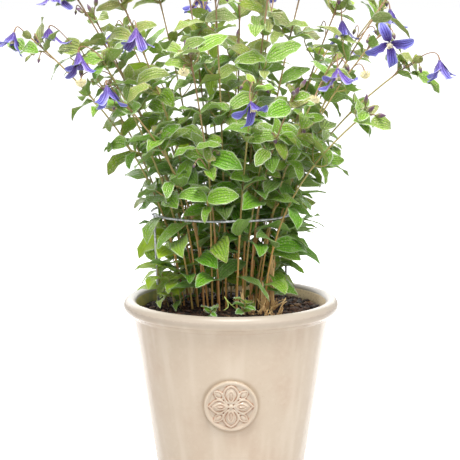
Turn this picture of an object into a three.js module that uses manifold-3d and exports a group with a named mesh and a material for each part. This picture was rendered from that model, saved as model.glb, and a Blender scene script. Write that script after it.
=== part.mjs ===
// A bush clematis in a glazed pot, held up by a wire ring on three legs.
// Units are millimetres, +Z is up, and the origin is the centre of the pot's foot, on the ground.
// The front, with the pot's medallion, faces -Y.
//
// Pieces: the pot, the soil in it, the welded wire support, one solid for each leafy stem with its
// buds, and one solid for each flower. Flowers hang 0.4 mm below the end of their stalk.

import * as THREE from "three";
import { mergeVertices } from "three/addons/utils/BufferGeometryUtils.js";
import Module from "manifold-3d";

const wasm = await Module();
wasm.setup();

// ---------------------------------------------------------------- driving dimensions

const POT = {
  height: 270,
  footRadius: 91,
  wallFlare: 0.149, // outward run of the wall for each millimetre of height
  wallThick: 8.5,
  floorThick: 11,
  lipHeight: 22,
  lipRadius: 141,
  mouthRadius: 130,
  sides: 32,
};

const MEDALLION = { z: 152, radius: 34.5, relief: 3.2, sides: 24, petals: 4 };

const SOIL = { top: 253, mound: 5, fit: 0.4 };

const WIRE = {
  ringRadius: 94,
  ringX: -11,
  ringY: 19,
  ringZ: 381,
  wireRadius: 1.6,
  sides: 5,
  ringSteps: 32,
  footZ: 215,
  // where each leg meets the ring, in degrees, and where it enters the soil
  legs: [
    { angle: 199, soilX: -95, soilY: 2 },
    { angle: 24, soilX: 74.5, soilY: 77 },
    { angle: 120, soilX: -50, soilY: 88 },
  ],
};

const STEM = {
  radius: 1.5,
  tipRadius: 1.1,
  depth: 14, // how far a stem goes down into the soil
  handles: [0.33, 0.64], // heights of the curve's two handles, as shares of the stem's rise
  firstLean: 0.25, // how much of its lean a stem has at the first handle
  hole: 0.5, // gap between a stem and its hole in the soil
};

const LEAF = {
  length: 50,
  widthShare: 0.56,
  thick: 1.8,
  footHalf: 1.3, // half the height of its foot on the stem's side
  footGuard: 2.8, // and the same in clearance tests, which then hold its foot however it turns
  footShare: 0.01, // where its foot starts, as a share of its length from the stem's middle
  freeShare: 0.1, // from here on it stays clear of its own stem
  fold: 0.06,
  basePower: 0.6,
  tipPower: 1.05,
  firstRise: 44, // height of the lowest pair above the soil
  spacing: 56, // mean distance between pairs along a stem
  crowding: 1.08, // above 1, the pairs stand closer together low down
  topGap: 16, // bare stalk left above the highest pair
  stations: [0.3, 0.64],
};

const CLEAR = 0.5; // gap kept between a leaf and every other piece
// Turns and lifts, in degrees, that a leaf tries in this order to find a clear place, and how far
// it may point down or up in all.
const TURNS = [0, 18, -18, 36, -36, 54, -54, 75, -75];
const LIFTS = [0, 20, -20];
const LIFT_LIMITS = [-24, 52];

const SEPAL = {
  length: 34,
  width: 11,
  thick: 1.6,
  fold: 0.1,
  basePower: 0.5,
  tipPower: 0.7,
  stations: [0.36, 0.76],
};
const STALK = { root: 0.4, radius: 0.9, sides: 3, gap: 0.4, steps: 4 };
const BUD = { length: 10, radius: 2.5, stalk: 17, splay: 38 };
const HEART = { radius: 2.6, endRadius: 3.2, length: 11, petalRise: 1, petalFoot: 1 }; // stamens

// Stems: where each enters the soil, where it ends, how far it has leaned out at the second handle
// of its curve, as a share of the way, and the heading in degrees of its lowest leaf pair. The ring
// holds them in, so an outer stem stands up first. A stem with buds ends in three of them.
const STEMS = [
  { root: [-59, -9], tip: [-258, -46, 616], lean: 0.26, heading: 20 },
  { root: [-62, 17], tip: [-196, -14, 592], lean: 0.36, heading: 80 },
  { root: [-48, -24], tip: [-162, -78, 588], lean: 0.4, heading: 140 },
  { root: [-34, -38], tip: [-137, -112, 540], lean: 0.12, heading: 35 },
  { root: [-55, 36], tip: [-182, 42, 640], lean: 0.42, heading: 110, buds: true },
  { root: [-41, 10], tip: [-212, 4, 682], lean: 0.42, heading: 65 },
  { root: [-28, -12], tip: [-166, -34, 716], lean: 0.42, heading: 10 },
  { root: [-31, 36], tip: [-112, 68, 724], lean: 0.42, heading: 155, buds: true },
  { root: [-17, 14], tip: [-66, 8, 742], lean: 0.42, heading: 95 },
  { root: [-14, -42], tip: [-50, -104, 590], lean: 0.42, heading: 60, buds: true },
  { root: [-6, -18], tip: [-22, -48, 704], lean: 0.42, heading: 120 },
  { root: [-10, 42], tip: [-40, 168, 668], lean: 0.42, heading: 40 },
  { root: [7, -42], tip: [28, -100, 556], lean: 0.38, heading: 178 },
  { root: [7, 16], tip: [14, 34, 782], lean: 0.42, heading: 30 },
  { root: [14, -14], tip: [58, -26, 742], lean: 0.42, heading: 75, buds: true },
  { root: [25, 7], tip: [112, 4, 750], lean: 0.42, heading: 130 },
  { root: [24, -38], tip: [78, -128, 545], lean: 0.16, heading: 15, buds: true },
  { root: [16, 45], tip: [64, 160, 690], lean: 0.42, heading: 100 },
  { root: [34, -19], tip: [128, -84, 588], lean: 0.36, heading: 50 },
  { root: [38, 28], tip: [140, 44, 650], lean: 0.42, heading: 165 },
  { root: [48, -8], tip: [196, -46, 624], lean: 0.2, heading: 90 },
  { root: [42, 12], tip: [232, 26, 700], lean: 0.36, heading: 25 },
  { root: [53, 28], tip: [204, 96, 650], lean: 0.17, heading: 60 },
  { root: [54, 4], tip: [240, -16, 584], lean: 0.08, heading: 140 },
  { root: [42, -34], tip: [168, -106, 522], lean: 0.16, heading: 110, buds: true },
  { root: [34, 50], tip: [146, 184, 604], lean: 0.22, heading: 5 },
  { root: [-37, 57], tip: [-150, 160, 622], lean: 0.4, heading: 85 },
  { root: [0, 63], tip: [10, 226, 590], lean: 0.33, heading: 45, buds: true },
  { root: [-42, -8], tip: [-92, -62, 492], lean: 0.36, heading: 70 },
  { root: [-24, -30], tip: [-28, -92, 462], lean: 0.4, heading: 15 },
  { root: [16, -28], tip: [44, -84, 486], lean: 0.4, heading: 100 },
  { root: [30, -8], tip: [94, -44, 500], lean: 0.4, heading: 30 },
  { root: [27, 24], tip: [70, 74, 506], lean: 0.4, heading: 150 },
  { root: [-44, 26], tip: [-86, 70, 488], lean: 0.4, heading: 120 },
];

// Flowers: the stem that each hangs from and how far up it, the point where its petals meet, the
// way that it faces, how far its petals spread from that way, in degrees, and its turn about it.
const FLOWERS = [
  { stem: 0, from: 1, at: [-272, -54, 618], faces: [-0.25, -0.2, -1], spread: 38, turn: 20 },
  { stem: 1, from: 1, at: [-232, -20, 622], faces: [0, -0.1, -1], spread: 52, turn: 5 },
  { stem: 2, from: 1, at: [-189, -84, 594], faces: [0.12, -0.2, -1], spread: 34, turn: 12 },
  { stem: 3, from: 1, at: [-152, -120, 556], faces: [0.15, -0.1, -1], spread: 34, turn: 30 },
  { stem: 6, from: 0.8, at: [-118, -70, 624], faces: [0, -0.1, -1], spread: 34, turn: 40 },
  { stem: 5, from: 1, at: [-222, -12, 676], faces: [-0.1, 0, -1], spread: 36, turn: 0 },
  { stem: 6, from: 1, at: [-166, -52, 700], faces: [0.2, -0.1, -1], spread: 38, turn: 25 },
  { stem: 8, from: 1, at: [-80, 2, 742], faces: [-0.2, -0.2, -1], spread: 40, turn: 15 },
  { stem: 10, from: 1, at: [-10, -60, 694], faces: [0, -0.1, -1], spread: 34, turn: 8 },
  { stem: 11, from: 1, at: [-44, 184, 662], faces: [0, 0.3, -1], spread: 42, turn: 33 },
  { stem: 12, from: 1, at: [24, -118, 536], faces: [0.35, -0.55, -1], spread: 46, turn: 68 },
  { stem: 13, from: 1, at: [30, 26, 776], faces: [0.2, -0.2, -1], spread: 44, turn: 10 },
  { stem: 15, from: 1, at: [126, -6, 744], faces: [0.1, -0.2, -1], spread: 38, turn: 22 },
  { stem: 17, from: 1, at: [72, 176, 682], faces: [0.1, 0.3, -1], spread: 36, turn: 0 },
  { stem: 18, from: 1, at: [131, -104, 576], faces: [0.1, -0.2, -1], spread: 48, turn: 42 },
  { stem: 19, from: 1, at: [145, 36, 630], faces: [0.1, -0.1, -1], spread: 34, turn: 18 },
  { stem: 20, from: 1, at: [198, -66, 606], faces: [-0.1, -1, -0.35], spread: 62, turn: 14 },
  { stem: 21, from: 1, at: [244, 14, 692], faces: [0.2, -0.1, -1], spread: 38, turn: 50 },
  { stem: 22, from: 1, at: [212, 84, 644], faces: [0.1, -0.1, -1], spread: 34, turn: 27 },
  { stem: 23, from: 1, at: [266, -24, 582], faces: [0.1, -0.1, -1], spread: 38, turn: 45 },
  { stem: 25, from: 1, at: [156, 198, 596], faces: [0.2, 0.3, -1], spread: 44, turn: 5 },
  { stem: 26, from: 1, at: [-160, 174, 614], faces: [-0.2, 0.3, -1], spread: 40, turn: 31 },
];

// ---------------------------------------------------------------- colours

const paint = (color, roughness, metalness = 0) =>
  new THREE.MeshStandardMaterial({ color, roughness, metalness });
const MATERIAL = {
  glaze: paint(0xd9c6b0, 0.25),
  soil: paint(0x2b211b, 0.95),
  wire: paint(0x8d8f92, 0.45, 0.8),
  leaf: paint(0x5f8f35, 0.6),
  petal: paint(0x6a5cc0, 0.55),
};

// ---------------------------------------------------------------- solids

const radians = THREE.MathUtils.degToRad;
const point = (list) => new THREE.Vector3(...list);

// A closed geometry as a manifold-3d solid, turned right side out.
function solidOf(geometry) {
  const bare = geometry.clone();
  bare.deleteAttribute("normal");
  bare.deleteAttribute("uv");
  const merged = mergeVertices(bare, 1e-4);
  const vertProperties = new Float32Array(merged.attributes.position.array);
  const triVerts = new Uint32Array(merged.index.array);
  const make = () => new wasm.Manifold(new wasm.Mesh({ numProp: 3, vertProperties, triVerts }));
  const solid = make();
  if (solid.volume() > 0) return solid;
  for (let i = 0; i < triVerts.length; i += 3) {
    [triVerts[i + 1], triVerts[i + 2]] = [triVerts[i + 2], triVerts[i + 1]];
  }
  return make();
}

// A solid as a named mesh, with its own origin at a given point.
function meshOf(name, solid, material, origin = new THREE.Vector3()) {
  const { numProp, numVert, vertProperties, triVerts } = solid.getMesh();
  const position = new Float32Array(numVert * 3);
  for (let i = 0; i < numVert; i += 1) {
    position.set(vertProperties.subarray(i * numProp, i * numProp + 3), i * 3);
  }
  const geometry = new THREE.BufferGeometry();
  geometry.setAttribute("position", new THREE.BufferAttribute(position, 3));
  geometry.setIndex(new THREE.BufferAttribute(new Uint32Array(triVerts), 1));
  geometry.translate(-origin.x, -origin.y, -origin.z);
  geometry.computeVertexNormals();
  const mesh = new THREE.Mesh(geometry, material);
  mesh.name = name;
  mesh.position.copy(origin);
  return mesh;
}

// A skin over rings of points, closed at both ends. The first or last ring may be a single point.
// Neighbouring sides are cut along mirrored diagonals, so a thin blade's two faces fold alike.
function skin(rings) {
  const points = rings.flat();
  const starts = [];
  rings.reduce((sum, ring) => (starts.push(sum), sum + ring.length), 0);
  const faces = [];
  for (let i = 0; i + 1 < rings.length; i += 1) {
    const [low, high] = [rings[i], rings[i + 1]];
    const count = Math.max(low.length, high.length);
    for (let j = 0; j < count; j += 1) {
      const next = (j + 1) % count;
      const a = starts[i] + (low.length > 1 ? j : 0);
      const b = starts[i] + (low.length > 1 ? next : 0);
      const c = starts[i + 1] + (high.length > 1 ? next : 0);
      const d = starts[i + 1] + (high.length > 1 ? j : 0);
      if (a === b) faces.push([a, c, d]);
      else if (c === d) faces.push([a, b, c]);
      else if (j % 2) faces.push([a, b, d], [b, c, d]);
      else faces.push([a, b, c], [a, c, d]);
    }
  }
  const cap = (start, size, flip) => {
    for (let j = 1; j + 1 < size; j += 1) {
      faces.push(flip ? [start, start + j + 1, start + j] : [start, start + j, start + j + 1]);
    }
  };
  cap(starts[0], rings[0].length, true);
  cap(starts.at(-1), rings.at(-1).length, false);
  const geometry = new THREE.BufferGeometry().setFromPoints(points);
  geometry.setIndex(faces.flat());
  return solidOf(geometry);
}

// A tapering tube along a curve.
function tube(curve, steps, startRadius, endRadius, sides) {
  const frames = curve.computeFrenetFrames(steps, false);
  const rings = [];
  for (let i = 0; i <= steps; i += 1) {
    const centre = curve.getPointAt(i / steps);
    const radius = THREE.MathUtils.lerp(startRadius, endRadius, i / steps);
    const ring = [];
    for (let j = 0; j < sides; j += 1) {
      const turn = (j / sides) * 2 * Math.PI;
      ring.push(
        centre
          .clone()
          .addScaledVector(frames.normals[i], Math.cos(turn) * radius)
          .addScaledVector(frames.binormals[i], Math.sin(turn) * radius),
      );
    }
    rings.push(ring);
  }
  return skin(rings);
}

// A solid of revolution about Z, from a profile of [radius, height] pairs that ends on the axis.
function turned(profile, sides) {
  const points = profile.map(([r, z]) => new THREE.Vector2(r, z));
  return solidOf(new THREE.LatheGeometry(points, sides).rotateX(Math.PI / 2));
}

const joined = (solids) => solids.reduce((sum, solid) => sum.add(solid));

// ---------------------------------------------------------------- blades: leaves and petals

// Width along a blade as a share of its greatest, from 0 at the base to 0 at the tip.
function outline(t, basePower, tipPower) {
  const widest = basePower / (basePower + tipPower);
  const peak = widest ** basePower * (1 - widest) ** tipPower;
  return (t ** basePower * (1 - t) ** tipPower) / peak;
}

// The three-cornered sections of a thin blade, from its base outwards, and its tip. It leaves its
// origin along `out`, lifted towards `up` by `lift`, and bends back down by `droop` along its
// length, both in radians. Each section is its one edge, the keel under its midrib, its other edge.
function bladeSections(b, pad = 0, from = 0) {
  const side = new THREE.Vector3().crossVectors(b.up, b.out);
  const half = b.thick / 2 + pad;
  const place = (t) => {
    const angle = b.lift - b.droop * t;
    const run = ((Math.sin(b.lift) - Math.sin(angle)) / b.droop) * b.length;
    const rise = ((Math.cos(angle) - Math.cos(b.lift)) / b.droop) * b.length;
    const centre = b.origin.clone().addScaledVector(b.out, run).addScaledVector(b.up, rise);
    const along = b.out.clone().multiplyScalar(Math.cos(angle)).addScaledVector(b.up, Math.sin(angle));
    const across = side.clone().applyAxisAngle(along, b.roll);
    return { centre, along, across, normal: new THREE.Vector3().crossVectors(along, across) };
  };
  const section = (t, halfWidth, depth = half) => {
    const { centre, across, normal } = place(t);
    const at = (x, z) => centre.clone().addScaledVector(across, x).addScaledVector(normal, z);
    const edge = halfWidth + pad;
    const top = depth + b.fold * halfWidth;
    if (pad) return [at(-edge, top), at(-edge, -depth), at(edge, -depth), at(edge, top)];
    return [at(-edge, top), at(0, -depth), at(edge, top)];
  };
  const start = from ? [section(from, b.footHalf, b.footDepth)] : [];
  const middle = b.stations.map((t) => section(t, (b.width / 2) * outline(t, b.basePower, b.tipPower)));
  const end = place(1);
  return [...start, ...middle, [end.centre.addScaledVector(end.along, pad)]];
}

// A blade by itself, for clearance tests: begun at `from`, and with `pad` boxed in all round.
const bladeSolid = (b, pad, from) => skin(bladeSections(b, pad, from));

// A four-sided tube with blades grown out of its sides, all as one skin. A ring has its centre, its
// radius, the tube's direction and the way that its first side faces. A blade has the number of the
// ring below its foot, the side that it grows from, counted round, and its sections.
function bladedTube(rings, blades) {
  const points = [];
  const faces = [];
  for (const { centre, along, facing, radius } of rings) {
    const across = new THREE.Vector3().crossVectors(along, facing);
    const reach = radius * Math.SQRT1_2;
    for (const [x, y] of [[1, -1], [1, 1], [-1, 1], [-1, -1]]) {
      points.push(centre.clone().addScaledVector(facing, x * reach).addScaledVector(across, y * reach));
    }
  }
  faces.push([0, 2, 1], [0, 3, 2]);
  const last = points.length - 4;
  faces.push([last, last + 1, last + 2], [last, last + 2, last + 3]);
  for (let ring = 0; ring + 1 < rings.length; ring += 1) {
    for (let side = 0; side < 4; side += 1) {
      const next = (side + 1) % 4;
      const [a, b] = [ring * 4 + side, ring * 4 + next];
      const [c, d] = [b + 4, a + 4];
      const grown = blades.find((blade) => blade.ring === ring && blade.side === side);
      if (!grown) {
        faces.push([a, b, c], [a, c, d]);
        continue;
      }
      // The blade's foot is this side of the tube, and its lofts run on from there to its tip.
      const first = points.length;
      points.push(...grown.sections.flat());
      const [left, keel, right] = [first, first + 1, first + 2];
      faces.push([a, b, keel], [b, c, right], [b, right, keel], [a, keel, left], [a, left, d]);
      faces.push([d, left, right], [d, right, c]);
      for (let i = 0; i + 2 < grown.sections.length; i += 1) {
        const near = first + i * 3;
        const far = near + 3;
        faces.push([near, near + 1, far + 1], [near, far + 1, far]);
        faces.push([near + 1, near + 2, far + 1], [near + 2, far + 2, far + 1]);
        faces.push([near + 2, near, far], [near + 2, far, far + 2]);
      }
      const tip = points.length - 1;
      faces.push([tip - 3, tip - 2, tip], [tip - 2, tip - 1, tip], [tip - 1, tip - 3, tip]);
    }
  }
  const geometry = new THREE.BufferGeometry().setFromPoints(points);
  geometry.setIndex(faces.flat());
  return solidOf(geometry);
}

// ---------------------------------------------------------------- pot, soil and wire support

const wallRadius = (z) => POT.footRadius + POT.wallFlare * z;
const boreRadius = (z) => wallRadius(z) - POT.wallThick;

function medallion() {
  const { radius, relief, sides, petals } = MEDALLION;
  const sunk = 9; // how far the disc's back goes into the wall
  const disc = turned(
    [
      [0, -sunk],
      [radius - 1, -sunk],
      [radius, relief * 0.35],
      [radius - 1.6, relief],
      [radius - 4.2, relief],
      [radius - 6, relief * 0.45],
      [0, relief * 0.45],
    ],
    sides,
  );
  const lump = (halfLength, halfWidth, height, from, turn) =>
    solidOf(
      new THREE.SphereGeometry(1, 8, 4)
        .scale(halfLength, halfWidth, height)
        .translate(from, 0, relief * 0.4)
        .rotateZ(turn),
    );
  const pieces = [disc, lump(3.4, 3.4, 3.4, 0, 0)];
  for (let i = 0; i < petals; i += 1) {
    const turn = ((i + 0.5) * 2 * Math.PI) / petals + Math.PI / petals;
    pieces.push(lump(8.6, 6.4, 2.9, 13.6, turn));
    pieces.push(lump(5.2, 2.6, 2.2, 19.4, turn + Math.PI / petals));
  }
  return joined(pieces);
}

function pot() {
  const { height, footRadius, floorThick, lipHeight, lipRadius, mouthRadius } = POT;
  const lipFoot = height - lipHeight;
  const body = turned(
    [
      [0, 0],
      [footRadius - 3, 0],
      [wallRadius(3), 3],
      [wallRadius(lipFoot - 4), lipFoot - 4],
      [lipRadius - 6, lipFoot + 4],
      [lipRadius - 1, lipFoot + 9],
      [lipRadius, lipFoot + 15],
      [lipRadius - 2.5, lipFoot + 21],
      [lipRadius - 7, height],
      [mouthRadius, height - 1.5],
      [mouthRadius - 5, height - 9],
      [boreRadius(lipFoot - 6), lipFoot - 6],
      [boreRadius(floorThick), floorThick],
      [0, floorThick],
    ],
    POT.sides,
  );
  // The medallion's disc is laid against the wall, which leans by its flare.
  const lean = Math.atan(POT.wallFlare);
  const seat = new THREE.Matrix4()
    .makeTranslation(0, -wallRadius(MEDALLION.z) - 0.6, MEDALLION.z)
    .multiply(new THREE.Matrix4().makeRotationX(Math.PI / 2 + lean));
  return body.add(medallion().transform(seat.elements));
}

const soilHeight = (x, y) => {
  const spread = Math.min(1, Math.hypot(x, y) / boreRadius(SOIL.top));
  const crumbs = Math.sin(x * 0.31 + 1) * Math.cos(y * 0.27) * 1.6 + Math.sin(x * 0.13 - y * 0.19) * 1.4;
  return SOIL.top + SOIL.mound * (1 - spread * spread) + crumbs;
};

function soil(holes) {
  const { top, fit } = SOIL;
  const edge = boreRadius(top) - fit;
  const bottom = POT.floorThick + fit;
  const geometry = new THREE.LatheGeometry(
    [
      [0, bottom],
      [boreRadius(bottom) - fit - 0.5, bottom],
      [edge, top],
      [edge * 0.72, top],
      [edge * 0.4, top],
      [0, top],
    ].map(([r, z]) => new THREE.Vector2(r, z)),
    POT.sides,
  ).rotateX(Math.PI / 2);
  const place = geometry.attributes.position;
  for (let i = 0; i < place.count; i += 1) {
    if (place.getZ(i) > top - 1 && Math.hypot(place.getX(i), place.getY(i)) < edge - 1) {
      place.setZ(i, soilHeight(place.getX(i), place.getY(i)));
    }
  }
  return solidOf(geometry).subtract(joined(holes));
}

// The line of one leg, from its weld on the ring through the soil's surface to its foot.
function legEnds({ angle, soilX, soilY }) {
  const { ringRadius, ringX, ringY, ringZ, footZ } = WIRE;
  const turn = radians(angle);
  const top = new THREE.Vector3(
    ringX + Math.cos(turn) * ringRadius,
    ringY + Math.sin(turn) * ringRadius,
    ringZ,
  );
  const share = (ringZ - footZ) / (ringZ - SOIL.top);
  return [top, top.clone().lerp(new THREE.Vector3(soilX, soilY, SOIL.top), share)];
}

function wireSupport(extra = 0) {
  const radius = WIRE.wireRadius + extra;
  const ring = solidOf(
    new THREE.TorusGeometry(WIRE.ringRadius, radius, WIRE.sides, WIRE.ringSteps).translate(
      WIRE.ringX,
      WIRE.ringY,
      WIRE.ringZ,
    ),
  );
  const legs = WIRE.legs.map((leg) => {
    const [top, foot] = legEnds(leg);
    return tube(new THREE.LineCurve3(top, foot), 1, radius, radius, WIRE.sides);
  });
  return joined([ring, ...legs]);
}

// ---------------------------------------------------------------- stems

function stemCurve({ root, tip, lean }) {
  const foot = new THREE.Vector3(root[0], root[1], SOIL.top - STEM.depth);
  const end = point(tip);
  const [low, high] = STEM.handles.map((rise, i) => {
    const handle = foot.clone().lerp(end, i ? lean : lean * STEM.firstLean);
    return handle.setZ(SOIL.top + (end.z - SOIL.top) * rise);
  });
  return new THREE.CubicBezierCurve3(foot, low, high, end);
}

// A direction square to a stem, at an angle about it, in radians, from the side nearest to +X.
function squareTo(along, angle) {
  const first = new THREE.Vector3(1, 0, 0).addScaledVector(along, -along.x).normalize();
  const second = new THREE.Vector3().crossVectors(along, first);
  return first.multiplyScalar(Math.cos(angle)).addScaledVector(second, Math.sin(angle));
}

const stemRadius = (t) => THREE.MathUtils.lerp(STEM.radius, STEM.tipRadius, t);

// One ring of a stem's tube, at t on its curve and moved up or down it by `shift`.
function stemRing(curve, t, facing, shift = 0, extra = 0) {
  const along = curve.getTangent(t);
  const centre = curve.getPoint(t).addScaledVector(along, shift);
  return { centre, along, facing: squareTo(along, radians(facing)), radius: stemRadius(t) + extra };
}

// A stalk that carries on along `heading`, arches over and comes down on `end` along `faces`.
function hook(start, heading, end, faces) {
  const reach = start.distanceTo(end);
  const rise = Math.min(16, 6 + reach * 0.45);
  return new THREE.CubicBezierCurve3(
    start,
    start.clone().addScaledVector(heading, rise),
    end.clone().addScaledVector(faces, -rise),
    end,
  );
}

function stalkOf(flower, curve) {
  const faces = point(flower.faces).normalize();
  const end = point(flower.at).addScaledVector(faces, -STALK.gap);
  const t = Math.min(flower.from, 0.995);
  return hook(curve.getPoint(t), curve.getTangent(t), end, faces);
}

const stalkTube = (curve) => tube(curve, STALK.steps, STALK.root, STALK.radius, STALK.sides);

// A stalk with a bud at its end.
function budOnStalk(start, axis) {
  const end = BUD.stalk;
  const profile = [
    [0, STALK.root],
    [end, STALK.radius],
    [end + BUD.length * 0.35, BUD.radius],
  ];
  const first = squareTo(axis, 0);
  const second = new THREE.Vector3().crossVectors(axis, first);
  const rings = profile.map(([reach, radius]) =>
    [0, 1, 2].map((j) =>
      start
        .clone()
        .addScaledVector(axis, reach)
        .addScaledVector(first, Math.cos((j * 2 * Math.PI) / 3) * radius)
        .addScaledVector(second, Math.sin((j * 2 * Math.PI) / 3) * radius),
    ),
  );
  return skin([...rings, [start.clone().addScaledVector(axis, end + BUD.length)]]);
}

// Two buds that splay to the sides of a stem's tip, beside the one that ends it.
function sideBuds(curve, heading) {
  const along = curve.getTangent(1);
  return [0, 180].map((turn) => {
    const axis = along
      .clone()
      .multiplyScalar(Math.cos(radians(BUD.splay)))
      .addScaledVector(squareTo(along, radians(heading + turn)), Math.sin(radians(BUD.splay)));
    return budOnStalk(curve.getPoint(0.985), axis);
  });
}

// ---------------------------------------------------------------- leaves

// A repeatable run of numbers from 0 to 1, started by a whole number.
function sequence(seed) {
  let state = (Math.imul(seed, 2654435761) + 974711) >>> 0;
  return () => {
    state = (Math.imul(state, 1664525) + 1013904223) >>> 0;
    return state / 4294967296;
  };
}

// Every pair of leaves that a stem would bear, lowest first: where it grows, the way that the stem's
// first side faces there, and each leaf's side, heading and form.
function leafPlan(stem, index, curve) {
  const reach = curve.v0.distanceTo(curve.v3);
  const span = reach - STEM.depth - LEAF.firstRise - LEAF.topGap;
  const pairs = Math.max(2, Math.round(span / LEAF.spacing) + 1);
  const plan = [];
  for (let pair = 0; pair < pairs; pair += 1) {
    const draw = sequence(index * 64 + pair);
    const share = pair / (pairs - 1);
    const along = LEAF.firstRise + span * share ** LEAF.crowding + (draw() - 0.5) * 22;
    const facing = stem.heading + (draw() - 0.5) * 36;
    const size = 0.86 + 0.26 * Math.sin(Math.PI * Math.min(1, 0.25 + share)) - 0.26 * share ** 3;
    const leaves = [0, 2].map((opposite) => {
      const side = (pair % 2) + opposite;
      return {
        side,
        heading: facing + side * 90,
        lift: 26 + 20 * share + (draw() - 0.5) * 56,
        droop: 70 - 20 * share + (draw() - 0.5) * 60,
        roll: (draw() - 0.5) * 84,
        length: LEAF.length * size * (0.88 + draw() * 0.28),
      };
    });
    plan.push({ t: Math.min((STEM.depth + along) / reach, 0.97), facing, leaves });
  }
  return plan;
}

function leafForm(curve, t, leaf, turn, rise) {
  const up = curve.getTangent(t);
  return {
    origin: curve.getPoint(t),
    out: squareTo(up, radians(leaf.heading + turn)),
    up,
    lift: radians(THREE.MathUtils.clamp(leaf.lift + rise, ...LIFT_LIMITS)),
    droop: radians(leaf.droop),
    roll: radians(leaf.roll),
    length: leaf.length,
    width: leaf.length * LEAF.widthShare,
    footHalf: LEAF.footGuard,
    thick: LEAF.thick,
    fold: LEAF.fold,
    basePower: LEAF.basePower,
    tipPower: LEAF.tipPower,
    stations: LEAF.stations,
  };
}

// A stem's tube with its leaves, from the rings at its foot and tip and two rings at each pair.
function leafyStem(stem, curve, plan, grown) {
  const rings = [stemRing(curve, 0, plan[0].facing)];
  const blades = [];
  for (const { t, facing, leaves } of plan) {
    for (const leaf of leaves) {
      if (grown.has(leaf)) blades.push({ ring: rings.length, ...grown.get(leaf) });
    }
    rings.push(stemRing(curve, t, facing, -LEAF.footHalf), stemRing(curve, t, facing, LEAF.footHalf));
  }
  const { facing } = plan.at(-1);
  rings.push(stemRing(curve, 1, facing));
  if (stem.buds) {
    rings.push(stemRing(curve, 1, facing, BUD.length * 0.35, BUD.radius - STEM.tipRadius));
    rings.push(stemRing(curve, 1, facing, BUD.length, 0.4 - STEM.tipRadius));
  }
  return bladedTube(rings, blades);
}

// ---------------------------------------------------------------- flowers

function flowerSolid(flower) {
  const along = point(flower.faces).normalize();
  const base = point(flower.at);
  const facing = squareTo(along, radians(flower.turn));
  const ringAt = (depth, radius) => ({
    centre: base.clone().addScaledVector(along, depth),
    along,
    facing,
    radius,
  });
  const { radius, endRadius, length, petalRise, petalFoot } = HEART;
  const rings = [
    ringAt(0, radius * 0.7),
    ringAt(petalRise, radius),
    ringAt(petalRise + petalFoot, radius),
    ringAt(length, endRadius),
  ];
  const blades = [0, 1, 2, 3].map((side) => {
    const flare = flower.spread + (side % 2 ? 9 : -4);
    const form = {
      origin: base.clone().addScaledVector(along, petalRise),
      out: facing.clone().applyAxisAngle(along, (side * Math.PI) / 2),
      up: along,
      lift: radians(90 - flare * 0.55),
      droop: radians(flare * 0.95),
      roll: 0,
      length: SEPAL.length * (side % 2 ? 0.96 : 1.04),
      width: SEPAL.width,
      thick: SEPAL.thick,
      fold: SEPAL.fold,
      basePower: SEPAL.basePower,
      tipPower: SEPAL.tipPower,
      stations: SEPAL.stations,
    };
    form.origin.addScaledVector(form.out, radius * 0.7);
    return { ring: 1, side, sections: bladeSections(form) };
  });
  return bladedTube(rings, blades);
}

// ---------------------------------------------------------------- assembly

// What is already placed: each solid, its box and the piece that it belongs to. A leaf's foot joins
// its own stem, so a leaf has a second solid without it, which its stem's other leaves miss.
const placed = [];
function occupy(owner, solid, ownSolid = solid) {
  placed.push({ owner, solid, ownSolid, box: solid.boundingBox() });
}
const apart = (a, b) => [0, 1, 2].some((k) => a.max[k] < b.min[k] || b.max[k] < a.min[k]);
function isClear(solid, others) {
  const box = solid.boundingBox();
  return others.every((other) => {
    if (apart(box, other.box)) return true;
    const common = other.solid.intersect(solid);
    const clear = common.isEmpty() || common.volume() <= 0;
    common.delete();
    return clear;
  });
}
// A leaf boxed in all round, and by more at its foot, which holds the loft from its stem's side.
const guardedLeaf = (form, pad) =>
  bladeSolid({ ...form, footDepth: LEAF.footGuard }, pad, LEAF.footShare);
// A leaf has to miss every other piece, and past its foot its own stem's pieces too.
function leafFits(owner, form) {
  const whole = guardedLeaf(form, CLEAR);
  const free = bladeSolid(form, CLEAR / 2, LEAF.freeShare);
  const own = placed.filter((other) => other.owner === owner);
  const fits =
    isClear(free, own.map(({ ownSolid, box }) => ({ solid: ownSolid, box }))) &&
    isClear(whole, placed.filter((other) => other.owner !== owner));
  whole.delete();
  free.delete();
  return fits;
}

const plant = new THREE.Group();
const twoDigits = (number) => String(number).padStart(2, "0");

const potSolid = pot();
const wireSolid = wireSupport();
const curves = STEMS.map(stemCurve);
const plans = STEMS.map((stem, index) => leafPlan(stem, index, curves[index]));
const bare = STEMS.map((stem, index) => leafyStem(stem, curves[index], plans[index], new Map()));
const stemHoles = STEMS.map((stem, index) => {
  const { facing } = plans[index][0];
  const lowest = stemRing(curves[index], 0, facing, -STEM.hole, STEM.hole);
  return bladedTube([lowest, stemRing(curves[index], plans[index][0].t, facing, 0, STEM.hole)], []);
});
const soilSolid = soil([wireSupport(STEM.hole), ...stemHoles]);
plant.add(meshOf("pot", potSolid, MATERIAL.glaze));
plant.add(meshOf("soil", soilSolid, MATERIAL.soil));
plant.add(meshOf("wire_support", wireSolid, MATERIAL.wire));
occupy("pot", potSolid);
occupy("soil", soilSolid);
occupy("wire_support", wireSolid);

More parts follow.
